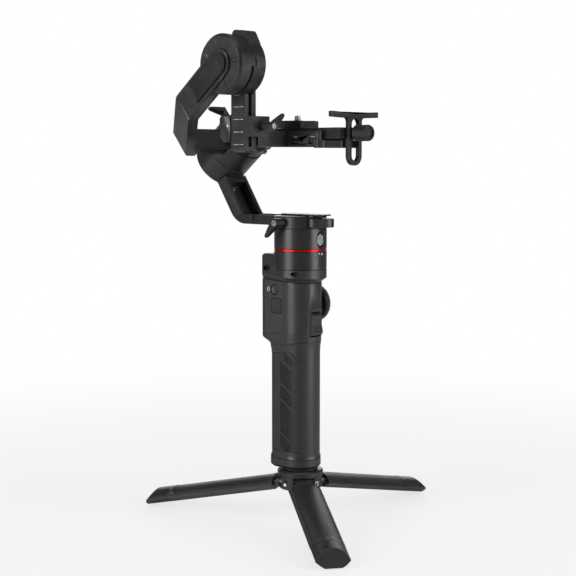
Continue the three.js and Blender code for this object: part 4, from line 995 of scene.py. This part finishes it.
def focus_wheel():
    span = extent("focus_wheel")
    r = (span.y1 - span.y0) / 2
    middle = ((span.y0 + span.y1) / 2, (span.z0 + span.z1) / 2)
    near = SIDE + 0.6
    wheel = prism("x", toothed(r, 0.7, 60, middle), near + 0.8, span.x1 - 1.2)
    width = span.x1 - near
    profile = [(0, 0), (r - 0.9, 0), (r - 0.9, width), (r - 4, width), (r - 5, width - 1), (0, width - 1)]
    inner = turned(fillet(profile, [0, 0.5, 1.0, 0.3, 0.3, 0]))
    inner = moved(inner, facing((1, 0, 0), (near, *middle)))
    shaft = rod("x", 4, span.x0, near + 1, middle)
    show("focus_wheel", join(wheel, inner, shaft), PLASTIC, edge=0.15, segments=1)


# ---------------------------------------------------------------- collar, red ring and pan motor
def collar_base():
    seam, tilt = HIGH_SEAM
    low = seam + GAP / 2
    top = upper.z0 - GAP
    body = loft([
        level(low, SIDE, SIDE - 0.4, BACK, CORNER, tilt),
        level(low + 0.6, SIDE + 0.1, SIDE - 0.2, BACK, CORNER, tilt),
        level(low + 3.8, COLLAR_R, COLLAR_SIDE, BACK, CORNER, tilt * 0.8),
        level(top, COLLAR_R, COLLAR_SIDE, BACK, CORNER),
    ])
    inset = 0.03  # so that no face of the crown lies in a face of the body
    size = (COLLAR_R - inset, COLLAR_SIDE - inset, BACK - inset, CORNER)
    crown = loft([level(height, *size) for height in (top - 1, base.z1)])
    profile = fillet([(0, top - 2), (BACK, top - 2), (BACK, base.z1), (0, base.z1)], [0, 0, 7.5, 0], 10)
    crown = common(crown, prism("x", profile, -COLLAR_R, COLLAR_R))
    crown = cut(crown, rod("z", COLLAR_R + GAP, top - 0.5, base.z1 + 1, (0, 0), FINE))
    bore_y, bore_z = BACK - 8.6, upper.z0 + 0.5
    body = cut(
        join(body, crown),
        rod("z", 8, low - 4, top + 1),
        rod("x", 3, -COLLAR_R, 5 - COLLAR_SIDE, (bore_y, bore_z)),
        key_hole(top),
    )
    show("collar_base", body, PLASTIC, edge=0.4, segments=3)
    # A near-black plug at the floor of the almond hole: painted shade.
    add("key_hole_floor_painted_shade", "collar_base", key_hole(top, 0.2, 2.4), RECESS_SHADE_AND_SCREW_BLACK, edge=0)
    # Real threads inside the side bore, coloured near black: painted shade in the bore.
    threads = [ring(2.2, 2.9, 0.55 * k, 0.55 * k + 0.3, 0.1, SMALL) for k in range(7)]
    liner = moved(merged(threads), facing((-1, 0, 0), (4.9 - COLLAR_SIDE + 0.2, bore_y, bore_z)))
    add("thread_liner_painted_shade", "collar_base", shifted(liner, -4.2, 0, 0), RECESS_SHADE_AND_SCREW_BLACK, edge=0)


def key_hole(top, shrink=0.0, depth=12):
    """The almond-shaped hole in the collar's front corner, or a smaller plug for its floor that carries
    painted shade.
    """
    reach, offset = 5.6 - shrink, 3.4
    start = math.degrees(math.asin(offset / reach)) + 1
    almond = arc((0, -offset), reach, start, 180 - start, 14)
    almond += arc((0, offset), reach, 180 + start, 360 - start, 14)
    hole = prism("z", almond, 0, depth)
    a = 209.5 * RAD
    out = (math.cos(a), math.sin(a), 0)
    height = (top + HIGH_SEAM[0] + 3) / 2 + 0.6
    turn = Matrix.Rotation(a, 4, "Z") @ Matrix.Rotation(90 * RAD, 4, "Y") @ Matrix.Rotation(90 * RAD, 4, "Z")
    return moved(hole, Matrix.Translation(Vector(out) * (COLLAR_R - 6) + Vector((0, 0, height))) @ turn)


def collar():
    show("collar", ring(8, COLLAR_R, upper.z0, upper.z1, 0.35), METAL, edge=0)
    red = extent("red_ring")
    show("red_ring", ring(12, MOTOR_R, red.z0, red.z1, 0.2), RED, edge=0)
    surface = COLLAR_R - 0.1
    place = facing((0, -1, 0), (-1.2, -surface, upper.z1 - 2.2))
    arrow = prism("z", [(-0.8, 0.9), (0.8, 0.9), (0, -0.6)], 0, 0.16)
    add("release_arrow", "collar", moved(arrow, place), MARK, edge=0)
    place = facing((0, -1, 0), (2.4, -surface, upper.z1 - 2.2))
    loop = cut(prism("z", circle(1.0), 0, 0.16), prism("z", circle(0.6), -1, 1))
    add("release_ring_mark", "collar", moved(loop, place), MARK, edge=0)


def pan_motor():
    lock = extent("lock_button")
    lock_z = (lock.z0 + lock.z1) / 2
    half_w, half_h = lock.x1, lock.z1 - lock_z
    z0, z1 = motor.z0, motor.z1
    inner, floor = MOTOR_R - 2.2, z0 + 2.6
    profile = [(8, z0), (MOTOR_R, z0), (MOTOR_R, z1), (inner, z1), (inner, floor), (8, floor)]
    cup = turned(fillet(profile, [0.2, 0.3, 0.3, 0.2, 0.2, 0.2], 3))
    slot = prism("y", rounded(half_w + GAP, half_h + 1.2, half_w, (0, lock_z)), -MOTOR_R - 2, 4 - MOTOR_R)
    show("pan_motor_housing", cut(cup, slot), METAL, edge=0.25)
    hexagon = [(-half_w, half_h * 0.55), (0, half_h), (half_w, half_h * 0.55)]
    hexagon += [(-x, -z) for x, z in hexagon]
    button = prism("y", [(x, z + lock_z) for x, z in fillet(hexagon, 1.1)], lock.y0, lock.y1)
    ribs = []
    for k in range(-2, 3):
        rib_z = lock_z + 1.3 * k
        ribs.append(block(-1.6, 1.6, lock.y0 - 1, lock.y0 + 0.35, rib_z - 0.3, rib_z + 0.3))
    show("lock_button", cut(button, *ribs), STEEL, edge=0.25)


def dovetail(half_low, half_high, low, high):
    """The outline of a channel or rail that narrows upwards."""
    return [(-half_low, low), (half_low, low), (half_high, high), (-half_high, high)]


def pan_head():
    knob = extent("pan_knob")
    knob_y = pivot("pan_knob_turn").y
    z0, z1 = HEAD_Z, head.z1
    disc_profile = [(0, z0), (MOTOR_R, z0), (MOTOR_R, z1 - 1), (MOTOR_R - 1, z1), (0, z1)]
    body = turned(fillet(disc_profile, [0, 0.3, 0.6, 0.6, 0], 4))
    arm = extent("pan_arm")
    half = 14.4
    lean = 1.6 / 9
    low, high = arm.z0 - GAP, z1 + 1
    channel = dovetail(half, half - lean * (high - low), low, high)
    body = cut(
        body,
        prism("y", channel, -9, MOTOR_R + 1),
        rod("z", 0.6 - knob.x0, z0 + 0.7, z1 + 1, (0, knob_y), FINE),
        rod("x", 2.4, -MOTOR_R - 1, -14, (0, z0 + 5.3)),
    )
    body = join(body, rod("z", 4, head.z0, z0 + 1))
    show("pan_head", body, METAL, edge=0.25)
    r = -knob.x0
    lobes = []
    for k in range(144):
        a = 2 * math.pi * k / 144
        reach = r - 1.3 - 1.3 * math.cos(3 * a)
        lobes.append((reach * math.cos(a), reach * math.sin(a) + knob_y))
    grip_part = prism("z", lobes, z0 + 1, z0 + 9.2)
    shank = rod("z", 2.2, z0 + 2, knob.z1, (0, knob_y))
    show("pan_knob", join(grip_part, shank), METAL, edge=0.9, segments=4)
    plate = extent("head_plate")
    outline = rounded(plate.x1, (plate.y1 - plate.y0) / 2, 6, (0, (plate.y0 + plate.y1) / 2), 10)
    show("head_plate", prism("z", outline, plate.z0, plate.z1), METAL, edge=0.4, segments=3)
    place = Matrix.Translation((-MOTOR_R - GAP, 0, z0 + 5.3)) @ Matrix.Rotation(-90 * RAD, 4, "Y")
    lever_set("pan_lever", 4.4, 12, 18, 5.5, place @ Matrix.Rotation(138 * RAD, 4, "Z"))


# ---------------------------------------------------------------- pan arm
ARM_BEND = 70
ARM_RISE = 57
ARM_THICK = 12
ARM_LENGTH = 46
ARM_HALF = 14
ARM_H = 9
ARM_WALL = 2.7
TROUGH_STOP = 7


def pan_arm():
    arm = extent("pan_arm")
    low, front = arm.z0, arm.y0
    rise = Vector((math.cos(ARM_RISE * RAD), math.sin(ARM_RISE * RAD)))
    across = Vector((-rise.y, rise.x))
    corner = Vector((ARM_BEND, low))

    def beside(up, inward):
        return tuple(corner + rise * up + across * inward)

    def crossing(inward, height):
        return beside((height - across.y * inward) / rise.y, inward)

    outline = fillet(
        [
            (front, low),
            (ARM_BEND, low),
            beside(ARM_LENGTH, 0),
            beside(ARM_LENGTH, ARM_THICK),
            crossing(ARM_THICK, ARM_H),
            (front, low + ARM_H),
        ],
        [0, 22, 0, 0, 3, 0],
        12,
    )
    body = prism("x", outline, -ARM_HALF, ARM_HALF)
    inner_end = ARM_LENGTH - TROUGH_STOP
    trough = fillet(
        [
            (front + 5, low + ARM_WALL),
            crossing(ARM_WALL, ARM_WALL),
            beside(inner_end, ARM_WALL),
            beside(inner_end, ARM_THICK + 20),
            (front + 5, low + ARM_H + 26),
        ],
        [1, 18, 2, 0, 0],
        8,
    )
    inner_half = ARM_HALF - ARM_WALL - 0.6
    tools = [prism("x", trough, -inner_half, inner_half)]
    for side in (-1, 1):
        flank = [
            (side * (ARM_HALF + 1), low - 1),
            (side * (ARM_HALF + 1), low + ARM_H + 1),
            (side * (ARM_HALF - 1.8), low + ARM_H + 1),
            (side * (ARM_HALF + 0.2), low - 1),
        ]
        tools.append(prism("y", flank, front - 1, ARM_BEND - 22))
    seat = extent("roll_motor_housing", ROLL)
    tools.append(moved(rod("z", seat.x1 + GAP, seat.z0 - 50, seat.z1 + 10, (0, 0), FINE), ROLL))
    show("pan_arm", cut(body, *tools), METAL, edge=0.55, segments=3)
    spot = Vector((0, *beside(inner_end - 3.2, ARM_WALL)))
    lean = Vector((0, across.x, across.y))
    screw("arm_screw", "pan_arm", 1.5, facing(lean, spot), STEEL)
    ledge_top = ARM_WALL + 0.6
    ledge = [beside(14, ARM_WALL), beside(15.2, ARM_WALL), beside(15.2, ledge_top), beside(14, ledge_top)]
    add("arm_ledge", "pan_arm", prism("x", ledge, -inner_half, inner_half), METAL, edge=0.2)


# ---------------------------------------------------------------- roll motor and roll arm
RAIL_HALF = 10.7
BEND_T = 58
ROLL_ARM_HALF = 12.8


def roll_motor():
    rear = extent("roll_motor_housing", ROLL)
    drum = extent("roll_rotor", ROLL)
    jaw = extent("roll_jaw", ROLL)
    rail = (-109.1, -98.3)
    r = rear.x1
    wall = 2.2
    inner, end = r - wall, rear.z0 + 3
    profile = [(0, rear.z0), (r - 2.5, rear.z0), (r, rear.z0 + 2.5), (r, rear.z1)]
    profile += [(inner, rear.z1), (inner, end), (0, end)]
    can = turned(fillet(profile, [0, 1.5, 1.5, 0.3, 0.2, 0.2, 0], 5))
    show("roll_motor_housing", moved(can, ROLL), METAL, edge=0)
    floor = rail[0] - 3.8
    near, far = rear.z1 + GAP, jaw.z0 - GAP
    profile = [(0, floor), (inner, floor), (inner, near), (r, near), (r, far), (0, far)]
    body = turned(fillet(profile, [0, 0.2, 0.1, 0.3, 0.3, 0], 3))
    half = RAIL_HALF + 0.4
    body = cut(body, block(-r - 1, r + 1, -half, half, rail[0] - 0.4, 0))
    body = join(body, rod("z", 4, drum.z0, floor + 1))
    show("roll_rotor", moved(body, ROLL), METAL, edge=0.3)
    r = jaw.x1
    cap_profile = [(0, jaw.z0), (r, jaw.z0), (r, jaw.z1 - 1.6), (r - 1.6, jaw.z1), (0, jaw.z1)]
    plate = turned(fillet(cap_profile, [0, 0.3, 0.8, 0.8, 0], 4))
    lever = pivot("roll_lever_turn")
    lever = ROLL.inverted() @ lever
    seat_y = 20.4
    flat = block(lever.x - 6, lever.x + 6, seat_y - 0.6, r + 1, jaw.z0 - 1, jaw.z1 + 1)
    middle = (jaw.z0 + jaw.z1) / 2
    show("roll_jaw", moved(cut(plate, flat, rod("y", 2.4, 8, r, (lever.x, middle))), ROLL), METAL, edge=0.4)
    for side in (-1, 1):
        spot = ROLL @ Matrix.Translation((side * 14, -12, jaw.z1 - 0.1))
        screw(f"jaw_screw_{'left' if side < 0 else 'right'}", "roll_jaw", 1.6, spot, METAL)
    place = ROLL @ Matrix.Translation((lever.x, seat_y, middle)) @ Matrix.Rotation(-90 * RAD, 4, "X")
    lever_set("roll_lever", 4, 10.6, 22, 5, place @ Matrix.Rotation(190 * RAD, 4, "Z"))


def roll_arm():
    arm = extent("roll_arm", ROLL)
    cover = extent("arm_cover", ROLL)
    x0, t0, t1 = arm.x0, -98.3, arm.z0
    root_x, root_t = -71, -94
    run = (-BEND_T - t1) * 33 / 52
    outline = fillet(
        [
            (x0, ROLL_ARM_HALF),
            (x0 + 12, ROLL_ARM_HALF),
            (x0 + 12, -BEND_T),
            (root_x, root_t),
            (root_x + 10, t0),
            (root_x + 10, t1),
            (x0 + run, t1),
            (x0, -BEND_T),
        ],
        [0, 0, 3, 1.5, 0, 0, 7, 0.6],
    )
    bent = prism("y", outline, -ROLL_ARM_HALF, ROLL_ARM_HALF)
    end = arc((0, 0), ROLL_ARM_HALF, 0, 180, 40) + [(-ROLL_ARM_HALF, t1 - 1), (ROLL_ARM_HALF, t1 - 1)]
    bent = common(bent, prism("x", end, x0 - 1, root_x + 20))
    groove = RAIL_HALF - 1.4
    middle = (t0 + t1) / 2
    rail = cut(
        block(root_x, arm.x1, -RAIL_HALF, RAIL_HALF, t1, t0),
        block(root_x + 14, arm.x1 + 1, groove, RAIL_HALF + 1, middle - 1.6, middle + 1.6),
        block(root_x + 14, arm.x1 + 1, -RAIL_HALF - 1, -groove, middle - 1.6, middle + 1.6),
    )
    crease = [(x0 - 1, 1.2), (x0 + 1.1, 0.2), (x0 + 0.4, -1.2), (x0 - 1, -1.2)]
    crease = [(x, t - BEND_T) for x, t in crease]
    body = cut(join(bent, rail), prism("y", crease, -20, 20))
    show("roll_arm", moved(body, ROLL), METAL, edge=0.9, segments=3)
    for name, across in (("arm_outer_screw_1", 8.6), ("arm_outer_screw_2", -7.4)):
        place = ROLL @ Matrix.Translation((x0 + 0.15, across, -48.5)) @ Matrix.Rotation(-90 * RAD, 4, "Y")
        screw(name, "roll_arm", 1.25, place, RECESS_SHADE_AND_SCREW_BLACK, height=0.4)

    r = cover.y1
    low = cover.z0
    shape = arc((0, 0), r, 0, 180, 40) + arc((0, low - 7.5), math.hypot(r, 9.5), 134.1, 45.9, 24)
    plate = prism("x", shape, cover.x0, cover.x1)
    lip = arc((0, 0), r - 1.1, 0, 180, 40) + [(-r + 1.1, low + 6.2), (r - 1.1, low + 6.2)]
    plate = cut(plate, prism("x", lip, cover.x0 - 1, cover.x0 + 0.3))
    show("arm_cover", moved(plate, ROLL), METAL, edge=0.3, segments=3)
    place = ROLL @ Matrix.Translation((cover.x0 + 0.35, 1.6, 4.6)) @ Matrix.Rotation(-90 * RAD, 4, "Y")
    screw("cover_screw", "arm_cover", 1.3, place, RECESS_SHADE_AND_SCREW_BLACK, height=0.35)


# ---------------------------------------------------------------- tilt motor
TILT_R = 26
CREST_Y = (-14, -1)


def crest(x0, x1):
    high = CENTRE + TILT_R
    outline = fillet(
        [
            (CREST_Y[0] - 5.5, high - 8.6),
            (CREST_Y[1] + 4, high - 3),
            (CREST_Y[1] + 0.2, high + 2.9),
            (CREST_Y[1] - 2, high + 3.7),
            (CREST_Y[0] + 1.5, high + 2.8),
            (CREST_Y[0] - 0.2, high + 1.0),
        ],
        [0, 0, 0.8, 1.0, 1.4, 1.0],
    )
    return prism("x", outline, x0, x1)


def tilt_drum(profile):
    return shifted(laid_along_x(turned(profile)), 0, 0, CENTRE)


def sector(start, end, x0, x1):
    """A wedge of the tilt motor's surface between two angles from +Y towards +Z."""
    reach = TILT_R + 3
    outline = [(0, CENTRE)] + [(y, z + CENTRE) for y, z in arc((0, 0), reach, start, end, 20)]
    return prism("x", outline, x0, x1)


def tilt_motor():
    outer = extent("tilt_motor_housing")
    inner = extent("tilt_rotor")
    split = outer.x1
    x0 = outer.x0
    wall = 2.2
    r = TILT_R
    bevel = 2.2
    profile = [(0, x0), (r - bevel, x0), (r, x0 + bevel), (r, split)]
    profile += [(r - wall, split), (r - wall, split - 3), (0, split - 3)]
    can = tilt_drum(fillet(profile, [0, 0.7, 0.7, 0.3, 0.2, 0.2, 0], 4))
    half = ROLL_ARM_HALF + GAP
    notch = arc((0, 0), half, 0, 180, 40) + [(-half, -r - 5), (half, -r - 5)]
    arm = extent("roll_arm", ROLL)
    notch = moved(prism("x", notch, x0 - 1, arm.x0 + 12 + GAP), ROLL)
    depth, low, high = r - 1.9, split - 2.6, split + 1
    step = tilt_drum([(depth, low), (r + 2, low), (r + 2, high), (depth, high)])
    step = common(step, sector(184, 262, split - 4, split + 2))
    can = cut(can, notch, step)
    show("tilt_motor_housing", can, METAL, edge=0.35, segments=3)

    a, b = split + GAP, inner.x1
    profile = [(0, b - 4), (r - wall, b - 4), (r - wall, a), (r, a), (r, b - 2.4), (r - 2.4, b), (0, b)]
    drum = tilt_drum(fillet(profile, [0, 0.2, 0.2, 0.3, 1.2, 1.2, 0], 5))
    hollow = tilt_drum([(0, a - 3), (r - wall, a - 3), (r - wall, b - 4), (0, b - 4)])
    drum = join(drum, cut(crest(a, b - 2), hollow))
    drum = join(drum, shifted(laid_along_x(rod("z", 4, inner.x0, b - 3)), 0, 0, CENTRE))
    shelf = tilt_drum([(r - 1.0, a - 1), (r + 2, a - 1), (r + 2, a + 3.2), (r - 1.0, a + 3.2)])
    shelf = common(shelf, sector(168, 186, a - 2, a + 5))
    show("tilt_rotor", cut(drum, shelf), METAL, edge=0.35, segments=3)


# ---------------------------------------------------------------- tilt rail and bracket
def tilt_rail():
    rail = extent("tilt_rail")
    rotor = extent("tilt_rotor")
    x0, x1, low = rail.x0, -68.0, rail.z0
    half = 8.5
    near = rotor.x1 + GAP
    bar = block(x0, x1, -half, half, low, CENTRE - 10)
    ends = fillet([(-half, low), (half, low), (half, CENTRE), (-half, CENTRE)], [3.2, 3.2, 0, 0], 8)
    bar = common(bar, prism("x", ends, x0 - 1, x1 + 1))
    low_end = fillet([(x0, low), (x1, low), (x1, CENTRE), (x0, CENTRE)], [4.5, 4.5, 0, 0], 8)
    bar = common(bar, prism("y", low_end, -20, 20))
    g0, g1, depth = -78, -73.4, half - 2.4
    room = shifted(laid_along_x(rod("z", TILT_R + GAP, x0 - 1, near, sides=FINE)), 0, 0, CENTRE)
    bar = cut(
        bar,
        room,
        block(g0, g1, -half - 1, -depth, low + 5, CENTRE),
        block(g0, g1, depth, half + 1, low + 5, CENTRE),
    )
    flange = shifted(laid_along_x(rod("z", 14, near, x1, sides=FINE)), 0, 0, CENTRE)
    strap = block(near, x1, -half, half, CENTRE - TILT_R - 4, CENTRE)
    show("tilt_rail", join(bar, flange, strap), METAL, edge=0.4, segments=3)
    for k in range(4):
        height = low + 6.8 + 10.9 * k
        for part, (middle, long) in enumerate(((-4.6, 1.5), (-1.6, 0.5), (1.4, 1.5), (4.6, 0.9))):
            place = facing((-1, 0, 0), (x0 + 0.02, middle, height))
            dash = prism("z", rounded(long, 0.2, 0.12, steps=2), 0, 0.1)
            add(f"rail_mark_{k + 1}_{part + 1}", "tilt_rail", moved(dash, place), MARK, edge=0)


def rail_bracket():
    span = extent("rail_bracket")
    x0, x1 = span.x0, span.x1
    low, high = -61.9 + CENTRE, -44.2 + CENTRE
    wall = 8.9
    rear = fillet(
        [(wall, span.z0), (span.y1 - 5, span.z0), (span.y1, low), (span.y1, high), (wall, high)],
        [0.4, 0.8, 0.8, 2.2, 0.4],
    )
    front = block(x0, x1, span.y0, -wall, low, high)
    plate = block(-67.6, x1, span.y0, span.y1, low, high)
    tongues = [block(-77.6, -73.8, y, y + wall - 5.5, low, high) for y in (6.5, -wall - 1)]
    lever = pivot("rail_lever_turn")
    body = join(prism("x", rear, x0, x1), front, plate, *tongues)
    body = cut(body, rod("y", 2.4, span.y0 - 1, span.y0 + 7, (lever.x, lever.z)))
    show("rail_bracket", body, METAL, edge=0.45, segments=3)
    place = facing((-1, 0, 0), (x0 + 0.02, wall + 2.8, low + 9.5))
    arrow = prism("z", [(-1.1, 0.9), (0.9, 0.9), (1.9, 0), (0.9, -0.9), (-1.1, -0.9), (-0.1, 0)], 0, 0.1)
    add("bracket_arrow", "rail_bracket", moved(turn_to(arrow, "Z", 180), place), MARK, edge=0)
    for k, height in enumerate((low + 3.0, high - 3.4)):
        place = facing((-1, 0, 0), (x0 + 0.15, -wall - 4.6, height))
        screw(f"bracket_screw_{k + 1}", "rail_bracket", 1.1, place, RECESS_SHADE_AND_SCREW_BLACK, height=0.35)
    place = Matrix.Translation((lever.x, span.y0 - GAP, lever.z)) @ Matrix.Rotation(90 * RAD, 4, "X")
    lever_set("rail_lever", 3.9, 14.6, 17.5, 5, place @ Matrix.Rotation(37 * RAD, 4, "Z"))


# ---------------------------------------------------------------- platform, plates and lens support
def platform():
    span = extent("platform")
    slide = extent("slide_plate")
    ports = [extent("usb_port_1"), extent("usb_port_2")]
    w = 25
    front, rear = -44.6, 25
    low, high = CENTRE - 70.5, CENTRE - 56.5
    tray = prism("z", rounded(w, (rear - front) / 2, 2.5, (0, (rear + front) / 2)), low, high)
    right = [(12, span.y0), (w - 2, front - 4), (w - 2, front + 8)]
    tip = [(-x, y) for x, y in reversed(right)] + right
    tongue = prism("z", fillet(tip, [0, 2, 3, 3, 2, 0]), span.z0, CENTRE - 65)
    arm = block(span.x0, 3 - w, -5, 20, low, high)
    half, lean = slide.x1 + 0.4, 1.6 / (high - slide.z0)
    top = high + 1
    channel = dovetail(half, half - lean * (top - slide.z0), slide.z0 - 0.4, top)
    tools = [prism("y", channel, front - 40, rear + 5)]
    for port in ports:
        room = (port.y0 - GAP, port.y1 + GAP, port.z0 - GAP, port.z1 + GAP)
        tools.append(block(-w - 1, port.x1 + GAP, *room))
        tools.append(rod("x", 0.8, -w - 1, 1.5 - w, (port.y0 - 2.2, port.z0 + 0.6)))
    side_groove = [(-w - 1, low + 0.8), (0.5 - w, low + 1.3), (-w - 1, low + 1.8)]
    tools.append(prism("y", side_groove, front - 1, rear + 1))
    show("platform", cut(join(tray, tongue, arm), *tools), METAL, edge=0.4, segments=3)
    for number, port in enumerate(ports, 1):
        node = f"usb_port_{number}"
        frame_part = block(port.x0, port.x1, port.y0, port.y1, port.z0, port.z1)
        mouth = block(port.x0 - 1, port.x1 - 0.8, port.y0 + 0.7, port.y1 - 0.7, port.z0 + 0.7, port.z1 - 0.7)
        show(node, cut(frame_part, mouth), DARK_STEEL, edge=0.15)
        tab_z = (port.z0 + port.z1) / 2
        size = (port.x0 + 0.8, port.x1 - 1.0, port.y0 + 1.4, port.y1 - 1.4, tab_z - 0.1, tab_z + 1.1)
        tongue_part = block(*size)
        add(node + "_tongue", node, tongue_part, METAL_PALE, edge=0.1)
        middle = (port.y0 + port.y1) / 2
        for part, shift in enumerate((-1.5, 0.0, 1.5)):
            place = facing((-1, 0, 0), (0.02 - w, middle + shift, port.z1 + 2.2))
            tick = prism("z", rounded(0.5, 0.28, 0.12, steps=2), 0, 0.1)
            add(f"{node}_label_{part + 1}", "platform", moved(tick, place), MARK, edge=0)


def slide_and_plate():
    slide = extent("slide_plate")
    plate = extent("camera_plate")
    knob = pivot("lens_knob_turn")
    s, low, high = slide.x1, slide.z0, slide.z1
    shoulder = CENTRE - 56.5
    neck = s - 1.6
    profile = [(-s, low), (s, low), (neck, shoulder), (neck, high), (-neck, high), (-neck, shoulder)]
    mid_y = (plate.y0 + plate.y1) / 2
    half_y = (plate.y1 - plate.y0) / 2
    body = cut(
        prism("y", profile, slide.y0, slide.y1),
        prism("z", rounded(3.3, half_y, 3.2, (0, mid_y)), low - 1, high + 1),
        rod("y", 2.7, slide.y0 - 1, slide.y0 + 9, (0, knob.z)),
    )
    ticks = []
    for k in range(30):
        y = slide.y0 + 12 + 2 * k
        ticks.append(block(-s - 1, 2.0 - s, y - 0.15, y + 0.15, high - 0.8, high + 1))
    show("slide_plate", cut(body, merged(ticks)), METAL, edge=0.3)
    ribs = []
    for side in (-1, 1):
        places = [(side * (plate.x1 + 0.15), mid_y + 1.5 * k) for k in range(-8, 9)]
        places += [(1.5 * k, mid_y + side * (half_y + 0.15)) for k in range(-6, 7)]
        ribs += [rod("z", 0.45, plate.z0 - 1, plate.z1 + 1, place, 12) for place in places]
    top = cut(
        prism("z", rounded(plate.x1, half_y, 2, (0, mid_y)), plate.z0, plate.z1),
        rod("z", 3.4, plate.z0 - 1, plate.z1 + 1, (0, mid_y)),
        rod("z", 8.4, plate.z0 - 1, plate.z0 + 3.2, (0, mid_y), 64),
        merged(ribs),
    )
    show("camera_plate", top, METAL, edge=0.3)
    for side in (-1, 1):
        outline = rounded(2.6, half_y - 2.5, 1.2, (side * 9.4, mid_y))
        pad = prism("z", outline, plate.z1 - 0.2, plate.z1 + 0.35)
        add(f"plate_pad_{'left' if side < 0 else 'right'}", "camera_plate", pad, RUBBER, edge=0.2)
    camera_screw = extent("camera_screw")
    r, z0, z1 = 3.1, camera_screw.z0, camera_screw.z1
    turns_z = [z0 + 4.2 + 0.65 * k for k in range(int((z1 - z0 - 5) / 0.65))]
    profile = [(0, z0), (8, z0), (8, z0 + 2.5), (r - 0.4, z0 + 2.5)]
    for height in turns_z:
        profile += [(r - 0.4, height), (r, height + 0.25), (r - 0.4, height + 0.5)]
    profile += [(r - 0.8, z1), (0, z1)]
    show("camera_screw", shifted(turned(profile, 48), 0, mid_y, 0), STEEL, edge=0)


def lens_support():
    span = extent("lens_support")
    top, low, half, stem = span.z1, span.z0, span.x1, 9
    bar = top - 5
    neck = bar - 0.6
    outline = [(half, bar), (half, top), (half - 3, top), (0, top - 1.8)]
    outline += [(3 - half, top), (-half, top), (-half, bar)]
    outline += [(-stem - 8, neck), (-stem, neck), (-stem, low), (stem, low), (stem, neck), (stem + 8, neck)]
    radii = [0.8, 0.5, 2, 8, 2, 0.5, 0.8, 3, 7.5, 8.9, 8.9, 7.5, 3]
    body = prism("y", fillet(outline, radii, 12), span.y0, span.y1)
    slot_half = 5
    slot_low, slot_high = low + stem - slot_half, top - 6.3
    slot = rounded(slot_half, (slot_high - slot_low) / 2, 4.9, (0, (slot_high + slot_low) / 2), 12)
    show("lens_support", cut(body, prism("y", slot, span.y0 - 1, span.y1 + 1)), METAL, edge=0.6, segments=3)
    end = half - 4
    pad = [(end, top - 0.35), (end, top - 0.05), (0.3, top - 1.6)]
    pad += [(-x, z) for x, z in reversed(pad)] + [(0, top - 2.0)]
    add("support_pad", "lens_support", prism("y", pad, span.y0 + 1, span.y1 - 1), RUBBER, edge=0)

    knob = extent("lens_knob")
    centre = pivot("lens_knob_turn")
    r, length = 7.25, span.y0 - GAP - knob.y0
    back = knob.y0 + length
    profile = [(0, 2.4), (r - 2.9, 2.4), (r - 2.5, 0), (r - 0.8, 0)]
    profile += [(r - 0.35, 1), (r - 0.35, length - 0.8), (r - 1, length), (0, length)]
    core = turned(fillet(profile, [0, 0.3, 0.4, 0.4, 0.3, 0.3, 0.3, 0], 3))
    core = moved(core, facing((0, 1, 0), (0, knob.y0, centre.z)))
    knurl = prism("y", toothed(r, 0.45, 48, (0, centre.z)), knob.y0 + 1.6, back - 1.2)
    shaft = rod("y", 2.4, back - 1, knob.y1, (0, centre.z))
    show("lens_knob", join(core, knurl, shaft), METAL, edge=0.15, segments=1)
    # A near-black disc on the floor of the knob's front recess: painted shade.
    socket = rod("y", r - 3.0, knob.y0 + 2.35, knob.y0 + 2.6, (0, centre.z))
    add("knob_recess_painted_shade", "lens_knob", socket, RECESS_SHADE_AND_SCREW_BLACK, edge=0)


# ---------------------------------------------------------------- the whole object
tripod_hub()
for number in (1, 2, 3):
    leg(number)
mounting_pad()
end_cap()
grip()
upper_handle()
trigger_lever()
focus_wheel()
collar_base()
collar()
pan_motor()
pan_head()
pan_arm()
roll_motor()
roll_arm()
tilt_motor()
tilt_rail()
rail_bracket()
platform()
slide_and_plate()
lens_support()

dress(DARK_STEEL, "tripod_stud", "leg_pin_1", "leg_pin_2", "leg_pin_3", "charge_socket")
dress(STEEL, "pan_bearing", "roll_bearing", "tilt_bearing")
dress(WINDING, "pan_stator", "roll_stator", "tilt_stator")
dress(CELL, "battery_front", "battery_rear")
dress(BOARD, "control_board")

studio()
